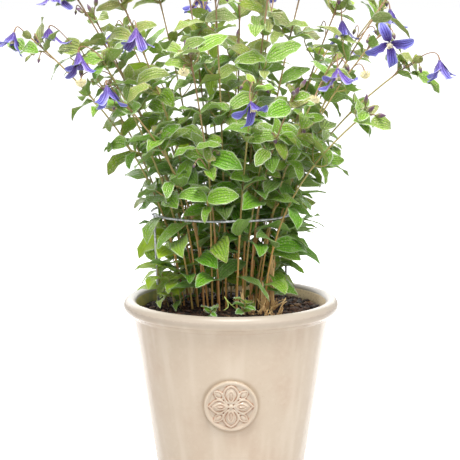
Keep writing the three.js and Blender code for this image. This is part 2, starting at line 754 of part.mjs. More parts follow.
// Stems, stalks, buds and flowers are placed first, so that the leaves give way to them.
const branches = STEMS.map((stem, index) => {
  const stalks = FLOWERS.filter((flower) => flower.stem === index);
  const pieces = stalks.map((flower) => stalkTube(stalkOf(flower, curves[index])));
  if (stem.buds) pieces.push(...sideBuds(curves[index], stem.heading + 45));
  for (const piece of [bare[index], ...pieces]) occupy(`stem_${index}`, piece);
  return pieces;
});
FLOWERS.forEach((flower, index) => {
  const solid = flowerSolid(flower);
  const name = `flower_${twoDigits(index + 1)}`;
  occupy(name, solid);
  plant.add(meshOf(name, solid, MATERIAL.petal, point(flower.at)));
});

STEMS.forEach((stem, index) => {
  const owner = `stem_${index}`;
  const tries = LIFTS.flatMap((rise) => TURNS.map((turn) => [turn, rise]));
  const grown = new Map();
  for (const { t, leaves } of plans[index]) {
    const taken = [];
    for (const leaf of leaves) {
      // A leaf grows from the side of the tube that it points away from.
      const sideAt = (turn) => (leaf.side + Math.round(turn / 90) + 4) % 4;
      const forms = tries
        .filter(([turn]) => !taken.includes(sideAt(turn)))
        .map(([turn, rise]) => ({ side: sideAt(turn), ...leafForm(curves[index], t, leaf, turn, rise) }));
      const form = forms.find((candidate) => leafFits(owner, candidate));
      if (!form) continue;
      taken.push(form.side);
      grown.set(leaf, { side: form.side, sections: bladeSections(form) });
      occupy(owner, guardedLeaf(form, CLEAR / 10), bladeSolid(form, 0, LEAF.freeShare));
    }
  }
  const solid = joined([leafyStem(stem, curves[index], plans[index], grown), ...branches[index]]);
  const root = curves[index].v0.clone().setZ(SOIL.top);
  plant.add(meshOf(`leafy_stem_${twoDigits(index + 1)}`, solid, MATERIAL.leaf, root));
});

export default plant;
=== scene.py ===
"""A bush clematis in a glazed pot with a wire support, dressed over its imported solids.

The file is laid out as an add-on and is run as a script. Everything is in metres, +Z is up, the
origin is the centre of the pot's foot and the front faces -Y.
"""

import math
import random

import bpy
import numpy as np
from mathutils import Matrix, Vector, kdtree, noise


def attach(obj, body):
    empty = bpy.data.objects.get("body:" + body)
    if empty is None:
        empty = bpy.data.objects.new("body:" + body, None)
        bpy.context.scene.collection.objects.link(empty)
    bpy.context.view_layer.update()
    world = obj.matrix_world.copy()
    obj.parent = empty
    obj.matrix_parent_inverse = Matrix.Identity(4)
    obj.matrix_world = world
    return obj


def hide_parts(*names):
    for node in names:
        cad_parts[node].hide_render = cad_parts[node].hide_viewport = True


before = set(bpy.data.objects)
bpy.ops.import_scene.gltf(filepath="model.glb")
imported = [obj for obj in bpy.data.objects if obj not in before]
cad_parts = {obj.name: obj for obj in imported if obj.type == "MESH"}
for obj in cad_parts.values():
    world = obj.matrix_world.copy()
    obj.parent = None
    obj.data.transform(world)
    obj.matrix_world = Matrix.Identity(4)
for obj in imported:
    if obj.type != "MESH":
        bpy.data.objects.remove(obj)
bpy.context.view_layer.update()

bl_info = {
    "name": "Potted Clematis",
    "version": (1, 0, 0),
    "blender": (4, 5, 0),
    "location": "View3D > Sidebar > Clematis",
    "description": "Builds a bush clematis with its pot, compost, wire support, leaves and flowers",
    "category": "Object",
}

MM = 0.001

# ------------------------------------------------------------------ growth plan
# Stems: root x and y, tip x, y and z in millimetres, how far the stem has leaned out at the second
# handle of its curve, the heading of its lowest leaf pair in degrees, and whether it ends in buds.
STEMS = (
    (-59, -9, -258, -46, 616, 0.26, 20, False),
    (-62, 17, -196, -14, 592, 0.36, 80, False),
    (-48, -24, -162, -78, 588, 0.4, 140, False),
    (-34, -38, -137, -112, 540, 0.12, 35, False),
    (-55, 36, -182, 42, 640, 0.42, 110, True),
    (-41, 10, -212, 4, 682, 0.42, 65, False),
    (-28, -12, -166, -34, 716, 0.42, 10, False),
    (-31, 36, -112, 68, 724, 0.42, 155, True),
    (-17, 14, -66, 8, 742, 0.42, 95, False),
    (-14, -42, -50, -104, 590, 0.42, 60, True),
    (-6, -18, -22, -48, 704, 0.42, 120, False),
    (-10, 42, -40, 168, 668, 0.42, 40, False),
    (7, -42, 28, -100, 556, 0.38, 178, False),
    (7, 16, 14, 34, 782, 0.42, 30, False),
    (14, -14, 58, -26, 742, 0.42, 75, True),
    (25, 7, 112, 4, 750, 0.42, 130, False),
    (24, -38, 78, -128, 545, 0.16, 15, True),
    (16, 45, 64, 160, 690, 0.42, 100, False),
    (34, -19, 128, -84, 588, 0.36, 50, False),
    (38, 28, 140, 44, 650, 0.42, 165, False),
    (48, -8, 196, -46, 624, 0.2, 90, False),
    (42, 12, 232, 26, 700, 0.36, 25, False),
    (53, 28, 204, 96, 650, 0.17, 60, False),
    (54, 4, 240, -16, 584, 0.08, 140, False),
    (42, -34, 168, -106, 522, 0.16, 110, True),
    (34, 50, 146, 184, 604, 0.22, 5, False),
    (-37, 57, -150, 160, 622, 0.4, 85, False),
    (0, 63, 10, 226, 590, 0.33, 45, True),
    (-42, -8, -92, -62, 492, 0.36, 70, False),
    (-24, -30, -28, -92, 462, 0.4, 15, False),
    (16, -28, 44, -84, 486, 0.4, 100, False),
    (30, -8, 94, -44, 500, 0.4, 30, False),
    (27, 24, 70, 74, 506, 0.4, 150, False),
    (-44, 26, -86, 70, 488, 0.4, 120, False),
)

# Flowers: the stem that each hangs from, counted from 0, and how far up it, the point where its
# sepals meet in millimetres, the way it faces, the spread of its sepals and its turn in degrees.
FLOWERS = (
    (0, 1, (-272, -54, 618), (-0.25, -0.2, -1), 38, 20),
    (1, 1, (-232, -20, 622), (0, -0.1, -1), 52, 5),
    (2, 1, (-189, -84, 594), (0.12, -0.2, -1), 34, 12),
    (3, 1, (-152, -120, 556), (0.15, -0.1, -1), 34, 30),
    (6, 0.8, (-118, -70, 624), (0, -0.1, -1), 34, 40),
    (5, 1, (-222, -12, 676), (-0.1, 0, -1), 36, 0),
    (6, 1, (-166, -52, 700), (0.2, -0.1, -1), 38, 25),
    (8, 1, (-80, 2, 742), (-0.2, -0.2, -1), 40, 15),
    (10, 1, (-10, -60, 694), (0, -0.1, -1), 34, 8),
    (11, 1, (-44, 184, 662), (0, 0.3, -1), 42, 33),
    (12, 1, (24, -118, 536), (0.35, -0.55, -1), 46, 68),
    (13, 1, (30, 26, 776), (0.2, -0.2, -1), 44, 10),
    (15, 1, (126, -6, 744), (0.1, -0.2, -1), 38, 22),
    (17, 1, (72, 176, 682), (0.1, 0.3, -1), 36, 0),
    (18, 1, (131, -104, 576), (0.1, -0.2, -1), 48, 42),
    (19, 1, (145, 36, 630), (0.1, -0.1, -1), 34, 18),
    (20, 1, (198, -66, 606), (-0.1, -1, -0.35), 62, 14),
    (21, 1, (244, 14, 692), (0.2, -0.1, -1), 38, 50),
    (22, 1, (212, 84, 644), (0.1, -0.1, -1), 34, 27),
    (23, 1, (266, -24, 582), (0.1, -0.1, -1), 38, 45),
    (25, 1, (156, 198, 596), (0.2, 0.3, -1), 44, 5),
    (26, 1, (-160, 174, 614), (-0.2, 0.3, -1), 40, 31),
)

# Faded flowers that are down to their stamens: stem, how far up it, place and facing.
FADED = (
    (9, 0.93, (-58, -112, 574), (0.1, -0.6, -1)),
    (2, 0.93, (-186, -92, 560), (0.2, -0.5, -1)),
    (20, 0.86, (168, -62, 568), (0.2, -0.6, -1)),
    (18, 0.9, (104, -100, 540), (-0.3, -0.5, -1)),
)

# Short shoots at the foot: x and y, how far each leans along x and y, its height in millimetres, the
# size of its leaves, and their youth, which also paints light: those behind are painted dark as leaves in
# shade, and those at the left edge a young yellow green that also paints the light through them.
LOW_SHOOTS = (
    (-80, -2, -16, -6, 60, 0.9, 1.1),
    (-70, -22, -10, -8, 48, 0.6, 1.1),
    (-70, 24, -26, 8, 62, 1.0, 1.1),
    (-64, -14, -6, -6, 56, 0.8, 1.0),
    (-20, -64, -6, -12, 18, 0.38, 0.8),
    (10, -60, 8, -10, 26, 0.5, 0.86),
    (-56, 46, -14, 10, 74, 0.95, 0.3),
    (-30, 64, -4, 8, 88, 1.0, 0.1),
    (-6, 56, 2, 6, 70, 0.95, 0.25),
    (18, 62, 6, 6, 92, 1.0, 0.0),
    (32, 50, -2, 6, 76, 0.9, 0.2),
    (44, 16, -6, 4, 56, 0.7, 0.1),
    (6, 34, 4, 4, 100, 1.0, 0.3),
    (-24, 28, -6, 2, 84, 0.95, 0.0),
    (30, 14, 6, 0, 74, 0.9, 0.35),
    (-44, 6, -8, -2, 58, 0.85, 0.6),
)

# Three cut stalks of last year: x, y and height in millimetres, and the height they start from.
CUT_STALKS = ((46, -20, 92), (54, -26, 74), (40, -34, 50))
DRY_FOOT = 248

# ------------------------------------------------------------------ sizes
# The pot's rolled rim: half its width and height, and how far down it the wall ends. Then its floor.
ROLL_HALF_WIDTH = 8.6 * MM
ROLL_HALF_HEIGHT = 9 * MM
ROLL_DEPTH = 22 * MM
BASE_THICK = 11 * MM
MEDALLION_Z = 152 * MM
MEDALLION_RADIUS = 34.5 * MM
# A turned shape that ends on its axis is drawn this small there, until its pole is closed.
POLE_RADIUS = 0.1 * MM

# The compost, and the sizes of its crumbs in millimetres.
SOIL_TOP = 253 * MM
SOIL_FOOT = 225 * MM
CRUMB_SIZES = (1.2, 1.5, 1.9, 2.4, 3.2, 4.0)

# The wire support. A leg's angle where it meets the ring, and x and y where it enters the compost.
RING_Z = 381 * MM
LEG_FOOT = 215 * MM
LEGS = ((199, -95, 2), (24, 74.5, 77), (120, -50, 88))

# The stems: how deep they stand, how their curves bend, and how far apart their leaf pairs are.
STEM_DEPTH = 14 * MM
STEM_HANDLES = (0.33, 0.64)
FIRST_LEAN = 0.25
FIRST_PAIR = 44 * MM
PAIR_SPACING = 56 * MM
PAIR_CROWDING = 1.08
TOP_GAP = 16 * MM
# How tall the plant stands above its compost, for the colours of its stems and of its leaves.
STEMS_TALL = 480 * MM
LEAVES_TALL = 530 * MM
# Below this share of the plant's height the leaves are few, and the stems show.
BARE_BELOW = 0.2

# The turns and lifts that were tried for each packed leaf, and the lifts that it may have, in
# degrees. Then how near a leaf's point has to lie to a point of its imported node.
LEAF_TURNS = (0, 18, -18, 36, -36, 54, -54, 75, -75)
LEAF_LIFTS = (0, 20, -20)
LIFT_LIMITS = (-24, 52)
TIP_MATCH = 0.05 * MM
# How full the outline of a blade is towards its base and its tip.
LEAF_POWERS = (0.6, 1.05)
SEPAL_POWERS = (0.72, 0.42)
# A blade twists beyond a fifth of its length, and curls under beyond three fifths.
TWIST_START = 0.2
CURL_START = 0.6
# Where the ribs of a sepal lie across it, on both sides, and their width, as shares of its half.
RIB_PLACES = (0.0, 0.42)
RIB_WIDTH = 0.16
HAIR_COUNT = 24
HAIR_LENGTH = 1.6 * MM
HAIR_HALF = 0.11 * MM

# The flowers and buds. A bud has a ridge on every other side, and its rows give how far up it they
# lie, and how wide it is there.
HEART_RADIUS = 2.6 * MM
GOLDEN_TURN = 137.5
BUD_LENGTH = 10 * MM
BUD_RADIUS = 2.5 * MM
BUD_STALK = 17 * MM
BUD_SPLAY = 38
BUD_SIDES = 8
BUD_ROWS = ((0, 0.45), (0.12, 0.8), (0.35, 1.0), (0.6, 0.82), (0.82, 0.45), (0.95, 0.18))
# The tint of a thin young stalk high on the plant.
YOUNG_BARK = (0.1, 1.0, 0, 1)

# The lamps: place and aim in metres, width and height, and power in watts. Then the two cards.
LAMPS = {
    "key": ((0.1, -0.9, 2.5), (0, 0, 0.45), (1.3, 1.3), 97),
    "fill_right": ((1.3, -1.6, 1.1), (0, 0, 0.3), (1.0, 1.0), 7),
    "fill_left": ((-1.5, -1.5, 1.1), (0, 0, 0.3), (1.0, 1.0), 2.5),
    "back": ((-0.3, 2.3, 1.5), (0, 0, 0.45), (3.2, 2.0), 64),
}
CARD_PLACE = (0.448, 0.597, 0.004)
CARD_SIZE = (0.34, 1.15)
CARD_POWER = 0.6
CARD_TURN = 41


# ------------------------------------------------------------------ colours and nodes


def colour(hex_value, alpha=1.0):
    """An sRGB hex value as a linear colour with alpha."""
    parts = [((hex_value >> shift) & 255) / 255 for shift in (16, 8, 0)]
    linear = [p / 12.92 if p <= 0.04045 else ((p + 0.055) / 1.055) ** 2.4 for p in parts]
    return (*linear, alpha)


def add(tree, kind, inputs=None, **settings):
    """Add a node, set its properties, and set or link its inputs; an input given a socket is linked."""
    made = tree.nodes.new("ShaderNode" + kind)
    for key, value in settings.items():
        setattr(made, key, value)
    for key, value in (inputs or {}).items():
        if isinstance(value, bpy.types.NodeSocket):
            tree.links.new(value, made.inputs[key])
        else:
            made.inputs[key].default_value = value
    return made


def new_material(name):
    """An empty node material, and its tree."""
    material = bpy.data.materials.new(name)
    material.use_nodes = True
    material.node_tree.nodes.clear()
    return material, material.node_tree


def finished(material, shader):
    """The material with its finished shader as its surface."""
    add(material.node_tree, "OutputMaterial", {0: shader.outputs[0]})
    return material


def painted(tree):
    """The red, green and blue of the tint that each point of a skin carries."""
    return add(tree, "SeparateColor", {0: add(tree, "Attribute", attribute_name="tint").outputs[0]}).outputs


def laid_over(tree, base, over, value, start, end, most=1.0):
    """A colour laid over a base: none of it where a value is at start, and the most of it at end.
    Each colour is a socket, a linear colour or a hex value."""
    base, over = (colour(each) if isinstance(each, int) else each for each in (base, over))
    amount = add(tree, "MapRange", {0: value, 1: start, 2: end, 4: most}, interpolation_type="SMOOTHSTEP")
    return add(tree, "Mix", {0: amount.outputs[0], 6: base, 7: over}, data_type="RGBA").outputs[2]


def layered(tree, base, *layers):
    """A base with several colours laid over it in turn, each given as laid_over takes it."""
    for layer in layers:
        base = laid_over(tree, base, *layer)
    return base


# ------------------------------------------------------------------ settings


def a_number(name, description, default, **more):
    """A setting that is a number."""
    return bpy.props.FloatProperty(name=name, description=description, default=default, **more)


def a_place(name, description, default):
    """A setting that is a place along an axis, in metres."""
    return a_number(name, description, default, unit="LENGTH", precision=4)


def a_length(name, description, default):
    """A setting that is a length in metres."""
    return a_number(name, description, default, unit="LENGTH", precision=4, min=0.0)


def a_colour(name, description, hex_value):
    """A setting that is a colour."""
    return bpy.props.FloatVectorProperty(
        name=name, description=description, default=colour(hex_value), subtype="COLOR", size=4
    )


class PotSettings(bpy.types.PropertyGroup):
    """Sizes and glaze of the pot."""

    height: a_length("Height", "Height of the pot", 270 * MM)
    foot_radius: a_length("Foot radius", "Radius of the wall at the ground", 91 * MM)
    wall_flare: a_number("Wall flare", "Outward run of the wall for each unit of height", 0.149)
    wall_thick: a_length("Wall thickness", "Thickness of the wall", 8.5 * MM)
    lip_radius: a_length("Rim radius", "Outer radius of the rolled rim", 141 * MM)
    glaze: a_colour("Glaze", "Colour of the glaze", 0xB9A996)
    worn: a_colour("Worn edges", "Colour where the glaze is thin on edges", 0x9C7052)


class CompostSettings(bpy.types.PropertyGroup):
    """The bark compost in the pot."""

    mound: a_length("Mound", "How much higher the middle is than the edge", 5 * MM)
    crumbs: bpy.props.IntProperty(name="Crumbs", description="Number of loose bark crumbs", default=1500)
    dark: a_colour("Dark", "Colour of the damp compost", 0x160D07)
    bark: a_colour("Bark", "Colour of the dry bark", 0x523624)


class WireSettings(bpy.types.PropertyGroup):
    """The welded wire support."""

    ring_radius: a_length("Ring radius", "Radius of the ring", 94 * MM)
    ring_x: a_place("Ring X", "Sideways place of the ring", -11 * MM)
    ring_y: a_place("Ring Y", "Depth of the ring", 19 * MM)
    wire_radius: a_length("Wire radius", "Radius of the wire", 1.6 * MM)
    zinc: a_colour("Zinc", "Colour of the galvanised wire", 0xC2C4C6)


class StemSettings(bpy.types.PropertyGroup):
    """The stems."""

    radius: a_length("Radius", "Radius of a stem at the compost", 1.25 * MM)
    tip_radius: a_length("Tip radius", "Radius of a stem at its tip", 1.0 * MM)
    low: a_colour("Low", "Colour of the woody lower stem", 0xE0A454)
    middle: a_colour("Middle", "Colour of the stem half way up", 0xB2A254)
    high: a_colour("High", "Colour of the young stem near the flowers", 0x9C7C56)


class LeafSettings(bpy.types.PropertyGroup):
    """The leaves."""

    length: a_length("Length", "Length of a full leaf", 50 * MM)
    width_share: a_number("Width share", "Width of a leaf as a share of its length", 0.56)
    thick: a_length("Thickness", "Thickness of a leaf at its midrib", 0.5 * MM)
    shade: a_colour("Shade", "Colour of the old leaves low down", 0x66A80C)
    middle: a_colour("Middle", "Colour of most leaves", 0x8CB830)
    upper: a_colour("Upper", "Colour of the downy leaves high up", 0xBAB672)
    # Painted light: this young yellow green also stands for leaves lit through by the lamps behind.
    young: a_colour("Young", "Colour of the youngest leaves", 0xBCDA2A)


class FlowerSettings(bpy.types.PropertyGroup):
    """The flowers."""

    sepal_length: a_length("Sepal length", "Length of a sepal", 34 * MM)
    sepal_width: a_length("Sepal width", "Width of a sepal", 14 * MM)
    violet: a_colour("Violet", "Colour of the sepals", 0x7068CC)
    rib: a_colour("Ribs", "Colour of the ribs of a sepal", 0x2C1A6C)
    margin: a_colour("Margin", "Colour of a sepal's edges", 0xB2B2DC)
    stamen: a_colour("Stamens", "Colour of the stamens", 0xF4F1DC)


class StageSettings(bpy.types.PropertyGroup):
    """Camera, floor and light."""

    elevation: a_number(
        "Elevation", "How far above level the camera stands", math.radians(8.7), subtype="ANGLE"
    )
    distance: a_length("Distance", "Distance from the camera to its target", 2.2)
    target_x: a_place("Target X", "Sideways place that the camera aims at", -1.2 * MM)
    target_z: a_length("Target height", "Height that the camera aims at", 359 * MM)
    lens: a_number("Lens", "Focal length in millimetres", 131.5)
    floor: a_colour("Floor", "Colour of the floor", 0xC4C4C4)
    sky: a_number("Sky", "Strength of the light from all round", 1.0)


# ------------------------------------------------------------------ curves of growth


class Draw:
    """A repeatable run of numbers from 0 to 1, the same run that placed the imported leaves."""

    def __init__(self, seed):
        self.state = (seed * 2654435761 + 974711) & 0xFFFFFFFF

    def __call__(self):
        self.state = (self.state * 1664525 + 1013904223) & 0xFFFFFFFF
        return self.state / 4294967296


def clamped(value, most=1.0):
    """A value kept between 0 and the most that it may be."""
    return min(most, max(0.0, value))


def bezier(points, t):
    """The point of a Bezier curve at t."""
    a, b, c, d = points
    s = 1 - t
    return a * s**3 + b * (3 * s * s * t) + c * (3 * s * t * t) + d * t**3


def heading_of(points, t):
    """The direction of a Bezier curve at t."""
    a, b, c, d = points
    s = 1 - t
    return ((b - a) * (s * s) + (c - b) * (2 * s * t) + (d - c) * (t * t)).normalized()


def square_to(along, degrees):
    """A direction square to another, at an angle about it from the side nearest to +X."""
    first = (Vector((1, 0, 0)) - along * along.x).normalized()
    second = along.cross(first)
    angle = math.radians(degrees)
    return first * math.cos(angle) + second * math.sin(angle)


def stem_curve(stem):
    """The Bezier curve that a stem grows along, from its foot in the compost to its tip."""
    root_x, root_y, tip_x, tip_y, tip_z, lean = stem[:6]
    foot = Vector((root_x * MM, root_y * MM, SOIL_TOP - STEM_DEPTH))
    end = Vector((tip_x, tip_y, tip_z)) * MM
    handles = []
    for rise, share in zip(STEM_HANDLES, (lean * FIRST_LEAN, lean)):
        handle = foot.lerp(end, share)
        handle.z = SOIL_TOP + (end.z - SOIL_TOP) * rise
        handles.append(handle)
    return foot, *handles, end


def hook(start, heading, end, faces):
    """A stalk that goes on along a heading, arches over and comes down on its end."""
    rise = min(16 * MM, 6 * MM + (end - start).length * 0.45)
    return start, start + heading * rise, end - faces * rise, end


# ------------------------------------------------------------------ skins: points, faces and paint


class Skin:
    """Points, faces and paint gathered for one piece. Each point has a place on its own surface,
    as (along, across), and a tint of four numbers that its material reads."""

    def __init__(self):
        self.points, self.faces, self.slots, self.marks, self.tints = [], [], [], [], []
        self.count = 0

    def add(self, points, faces, slot, marks, tints):
        """Take in more points and faces, with one material slot or a slot for each face."""
        self.points.append(np.asarray(points, dtype=float).reshape(-1, 3))
        self.faces.extend([[i + self.count for i in face] for face in faces])
        self.slots.extend([slot] * len(faces) if isinstance(slot, int) else slot)
        self.marks.append(np.asarray(marks, dtype=float).reshape(-1, 2))
        self.tints.append(np.asarray(tints, dtype=float).reshape(-1, 4))
        self.count += len(self.points[-1])

    def piece(self, name, materials, smooth=40):
        """The finished object, at the origin."""
        mesh = bpy.data.meshes.new(name)
        mesh.from_pydata(np.concatenate(self.points).tolist(), [], self.faces)
        for material in materials:
            mesh.materials.append(material)
        mesh.polygons.foreach_set("material_index", self.slots)
        corners = np.empty(len(mesh.loops), dtype=np.int32)
        mesh.loops.foreach_get("vertex_index", corners)
        layer = mesh.uv_layers.new(name="surface")
        layer.data.foreach_set("uv", np.concatenate(self.marks)[corners].ravel())
        paint = mesh.attributes.new("tint", "FLOAT_COLOR", "POINT")
        paint.data.foreach_set("color", np.concatenate(self.tints).ravel())
        mesh.validate()
        made = bpy.data.objects.new(name, mesh)
        bpy.context.collection.objects.link(made)
        smooth_by_angle(made, smooth)
        return made


def deselect():
    """Leave edit mode, and leave nothing selected."""
    if bpy.context.object and bpy.context.object.mode != "OBJECT":
        bpy.ops.object.mode_set(mode="OBJECT")
    bpy.ops.object.select_all(action="DESELECT")


def pick(*pieces):
    """Select these pieces alone, with the first of them active."""
    deselect()
    for piece in pieces:
        piece.select_set(True)
    bpy.context.view_layer.objects.active = pieces[0]


def smooth_by_angle(made, degrees):
    """Shade a piece smooth but for the edges that turn by more than an angle."""
    pick(made)
    bpy.ops.object.shade_smooth_by_angle(angle=math.radians(degrees))


def closed_rings(rows, sides):
    """The faces of rings of points round an axis, row after row, with a flat face over the first
    row, and with one more point beyond the last, where they meet."""
    faces = []
    for i in range(rows - 1):
        for j in range(sides):
            k = (j + 1) % sides
            faces.append([i * sides + j, i * sides + k, (i + 1) * sides + k, (i + 1) * sides + j])
    faces.append(list(range(sides))[::-1])
    last = (rows - 1) * sides
    return faces + [[last + j, last + (j + 1) % sides, last + sides] for j in range(sides)]


def add_tube(skin, points, radii, sides, slot, tints):
    """A round tube through points, with a flat start and a pointed end. It has one radius and one
    tint, or a list of them. Its marks are millimetres along it and the way round it, there and
    back, so that they have no seam."""
    points = [Vector(p) for p in points]
    radii = radii if isinstance(radii, list) else [radii] * len(points)
    tints = tints if isinstance(tints, list) else [tints] * len(points)
    along = (points[1] - points[0]).normalized()
    first = square_to(along, 0)
    places, marks, paint = [], [], []
    run = 0.0
    for i, point in enumerate(points):
        if i:
            run += (point - points[i - 1]).length
        ahead = points[min(i + 1, len(points) - 1)] - points[max(i - 1, 0)]
        along = ahead.normalized()
        first = (first - along * first.dot(along)).normalized()
        second = along.cross(first)
        for j in range(sides):
            turn = 2 * math.pi * j / sides
            places.append(point + (first * math.cos(turn) + second * math.sin(turn)) * radii[i])
            marks.append((run / MM, abs(1 - 2 * j / sides)))
            paint.append(tints[i])
    places.append(points[-1] + along * radii[-1])
    marks.append((run / MM, 0.5))
    paint.append(tints[-1])
    skin.add(places, closed_rings(len(points), sides), slot, marks, paint)


def add_curved_tube(skin, curve, parts, radii, sides, tints):
    """A tube of stem along a Bezier curve, drawn in a number of parts."""
    add_tube(skin, [bezier(curve, i / parts) for i in range(parts + 1)], radii, sides, 0, tints)


# ------------------------------------------------------------------ blades: leaves and sepals


def outline(t, powers):
    """Width along a blade as a share of its greatest."""
    base, tip = powers
    widest = base / (base + tip)
    peak = widest**base * (1 - widest) ** tip
    return np.power(t, base) * np.power(np.clip(1 - t, 0, 1), tip) / peak


def blade_pattern(columns, rows):
    """The flat pattern that all blades of a kind are copied from: a grid whose two ends are each
    drawn together to one point. Gives the place of each point as (along, across) from 0 to 1 and
    from -1 to 1, and the faces."""
    deselect()
    bpy.ops.mesh.primitive_grid_add(x_subdivisions=columns, y_subdivisions=rows, size=2)
    bpy.ops.object.mode_set(mode="EDIT")
    bpy.ops.mesh.select_all(action="SELECT")
    bpy.ops.mesh.select_mode(type="VERT")
    for end in (-1, 1):
        bpy.ops.mesh.select_all(action="DESELECT")
        bpy.ops.object.mode_set(mode="OBJECT")
        for vertex in bpy.context.object.data.vertices:
            vertex.select = abs(vertex.co.y - end) < 1e-4
        bpy.ops.object.mode_set(mode="EDIT")
        bpy.ops.mesh.merge(type="CENTER")
    bpy.ops.object.mode_set(mode="OBJECT")
    grid = bpy.context.object
    along = [0.5 * (1 - math.cos(math.pi * (v.co.y + 1) / 2)) for v in grid.data.vertices]
    places = np.array([(t, v.co.x) for t, v in zip(along, grid.data.vertices)])
    faces = [list(p.vertices) for p in grid.data.polygons]
    bpy.data.objects.remove(grid)
    return places, faces


class Blade:
    """A leaf or a sepal: where it grows and how it bends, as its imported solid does."""

    def __init__(self, origin, out, up, lift, droop, roll, length, width, powers):
        self.origin, self.out, self.up = (np.array(v) for v in (origin, out, up))
        self.side = np.cross(self.up, self.out)
        self.lift, self.droop, self.roll = lift, droop, roll
        self.length, self.width, self.powers = length, width, powers
        self.cup, self.twist, self.curl, self.sway = 0.1, 0.0, 0.0, 0.0
        self.waves, self.wave, self.phase, self.ribs = 2.0, 0.0, 0.0, 0.0

    def at(self, t, s, lift_off=0.0):
        """Points on the blade at t along it and s across it, raised off its middle surface. Then half
        its width and the way it heads there."""
        t, s = (np.atleast_1d(np.asarray(v, dtype=float)) for v in (t, s))
        t, s = np.broadcast_arrays(t, s)
        angle = self.lift - self.droop * t
        run = (math.sin(self.lift) - np.sin(angle)) / self.droop * self.length
        rise = (np.cos(angle) - math.cos(self.lift)) / self.droop * self.length
        lean = np.cos(angle)[:, None] * self.out + np.sin(angle)[:, None] * self.up
        square = np.cos(angle)[:, None] * self.up - np.sin(angle)[:, None] * self.out
        roll = (self.roll + self.twist * (t - TWIST_START) * (t > TWIST_START))[:, None]
        across = np.cos(roll) * self.side + np.sin(roll) * square
        normal = np.cos(roll) * square - np.sin(roll) * self.side
        centre = self.origin + run[:, None] * self.out + rise[:, None] * self.up
        centre = centre + self.side * (self.sway * t * t * self.length)[:, None]
        ripple = np.sin(2 * math.pi * (self.waves * t + self.phase) + np.where(s > 0, 2.4, 0.0))
        half = self.width / 2 * outline(t, self.powers) * (1 + 0.06 * ripple * (self.ribs > 0))
        height = self.cup * half * np.abs(s) ** 1.2
        height = height + self.wave * s * s * ripple * np.sin(math.pi * t)
        bars = sum(np.exp(-(((np.abs(s) - place) / RIB_WIDTH) ** 2)) for place in RIB_PLACES)
        height = height - self.ribs * bars * np.sin(math.pi * np.clip(t, 0, 1)) ** 0.5
        late = np.clip(t - CURL_START, 0, 1)
        height = height - self.curl * late * late * self.length
        return centre + across * (s * half)[:, None] + normal * (height + lift_off)[:, None], half, lean


def add_blade(skin, blade, pattern, thick, slots, tint):
    """A closed thin blade: an upper and an under face that meet at its margin. The third number of
    its tint is how far each point lies from the margin, in centimetres."""
    places, faces = pattern
    t, s = places[:, 0], places[:, 1]
    body = np.clip(1 - s * s, 0, 1) * np.clip(t * 12, 0, 1) * np.clip((1 - t) * 8, 0, 1)
    rim = body < 1e-6
    upper, half, _ = blade.at(t, s, body * thick / 2)
    keel = np.exp(-((s / 0.2) ** 2)) * 0.6 * thick * (1 - t)
    under = blade.at(t, s, -body * (thick / 2 + keel))[0]
    below = np.cumsum(~rim) - 1 + len(t)
    index = np.where(rim, np.arange(len(t)), below)
    edge = (1 - np.abs(s)) * half / (10 * MM)
    tints = np.tile(np.array(tint, dtype=float), (len(t), 1))
    tints[:, 2] = edge
    points = np.concatenate([upper, under[~rim]])
    marks = np.concatenate([places, places[~rim]])
    paint = np.concatenate([tints, tints[~rim]])
    flipped = [[int(index[i]) for i in face[::-1]] for face in faces]
    skin.add(points, faces + flipped, [slots[0]] * len(faces) + [slots[1]] * len(faces), marks, paint)


def add_hairs(skin, blade, slot, rng):
    """Soft hairs along both margins of a blade, each a thin three-sided spike."""
    points, faces = [], []
    for k in range(HAIR_COUNT):
        side = 1 if k % 2 else -1
        t = 0.06 + 0.9 * (k + rng.random()) / HAIR_COUNT
        (root,), _, (lean,) = blade.at(t, side * 0.985)
        (inner,), _, _ = blade.at(t, side * 0.8)
        out = root - inner
        out = out / (np.linalg.norm(out) + 1e-9)
        way = out + lean * rng.uniform(0.1, 0.7) + np.array([rng.uniform(-0.3, 0.3) for _ in range(3)])
        tip = root + way / np.linalg.norm(way) * HAIR_LENGTH * rng.uniform(0.7, 1.3)
        flat = np.cross(out, lean)
        first = len(points)
        points += [root - lean * HAIR_HALF, root + lean * HAIR_HALF, root + flat * HAIR_HALF, tip]
        faces += [[first, first + 1, first + 3], [first + 1, first + 2, first + 3]]
        faces += [[first + 2, first, first + 3], [first, first + 2, first + 1]]
    skin.add(points, faces, slot, [(0, 0)] * len(points), [(0, 0, 0, 1)] * len(points))


# ------------------------------------------------------------------ materials


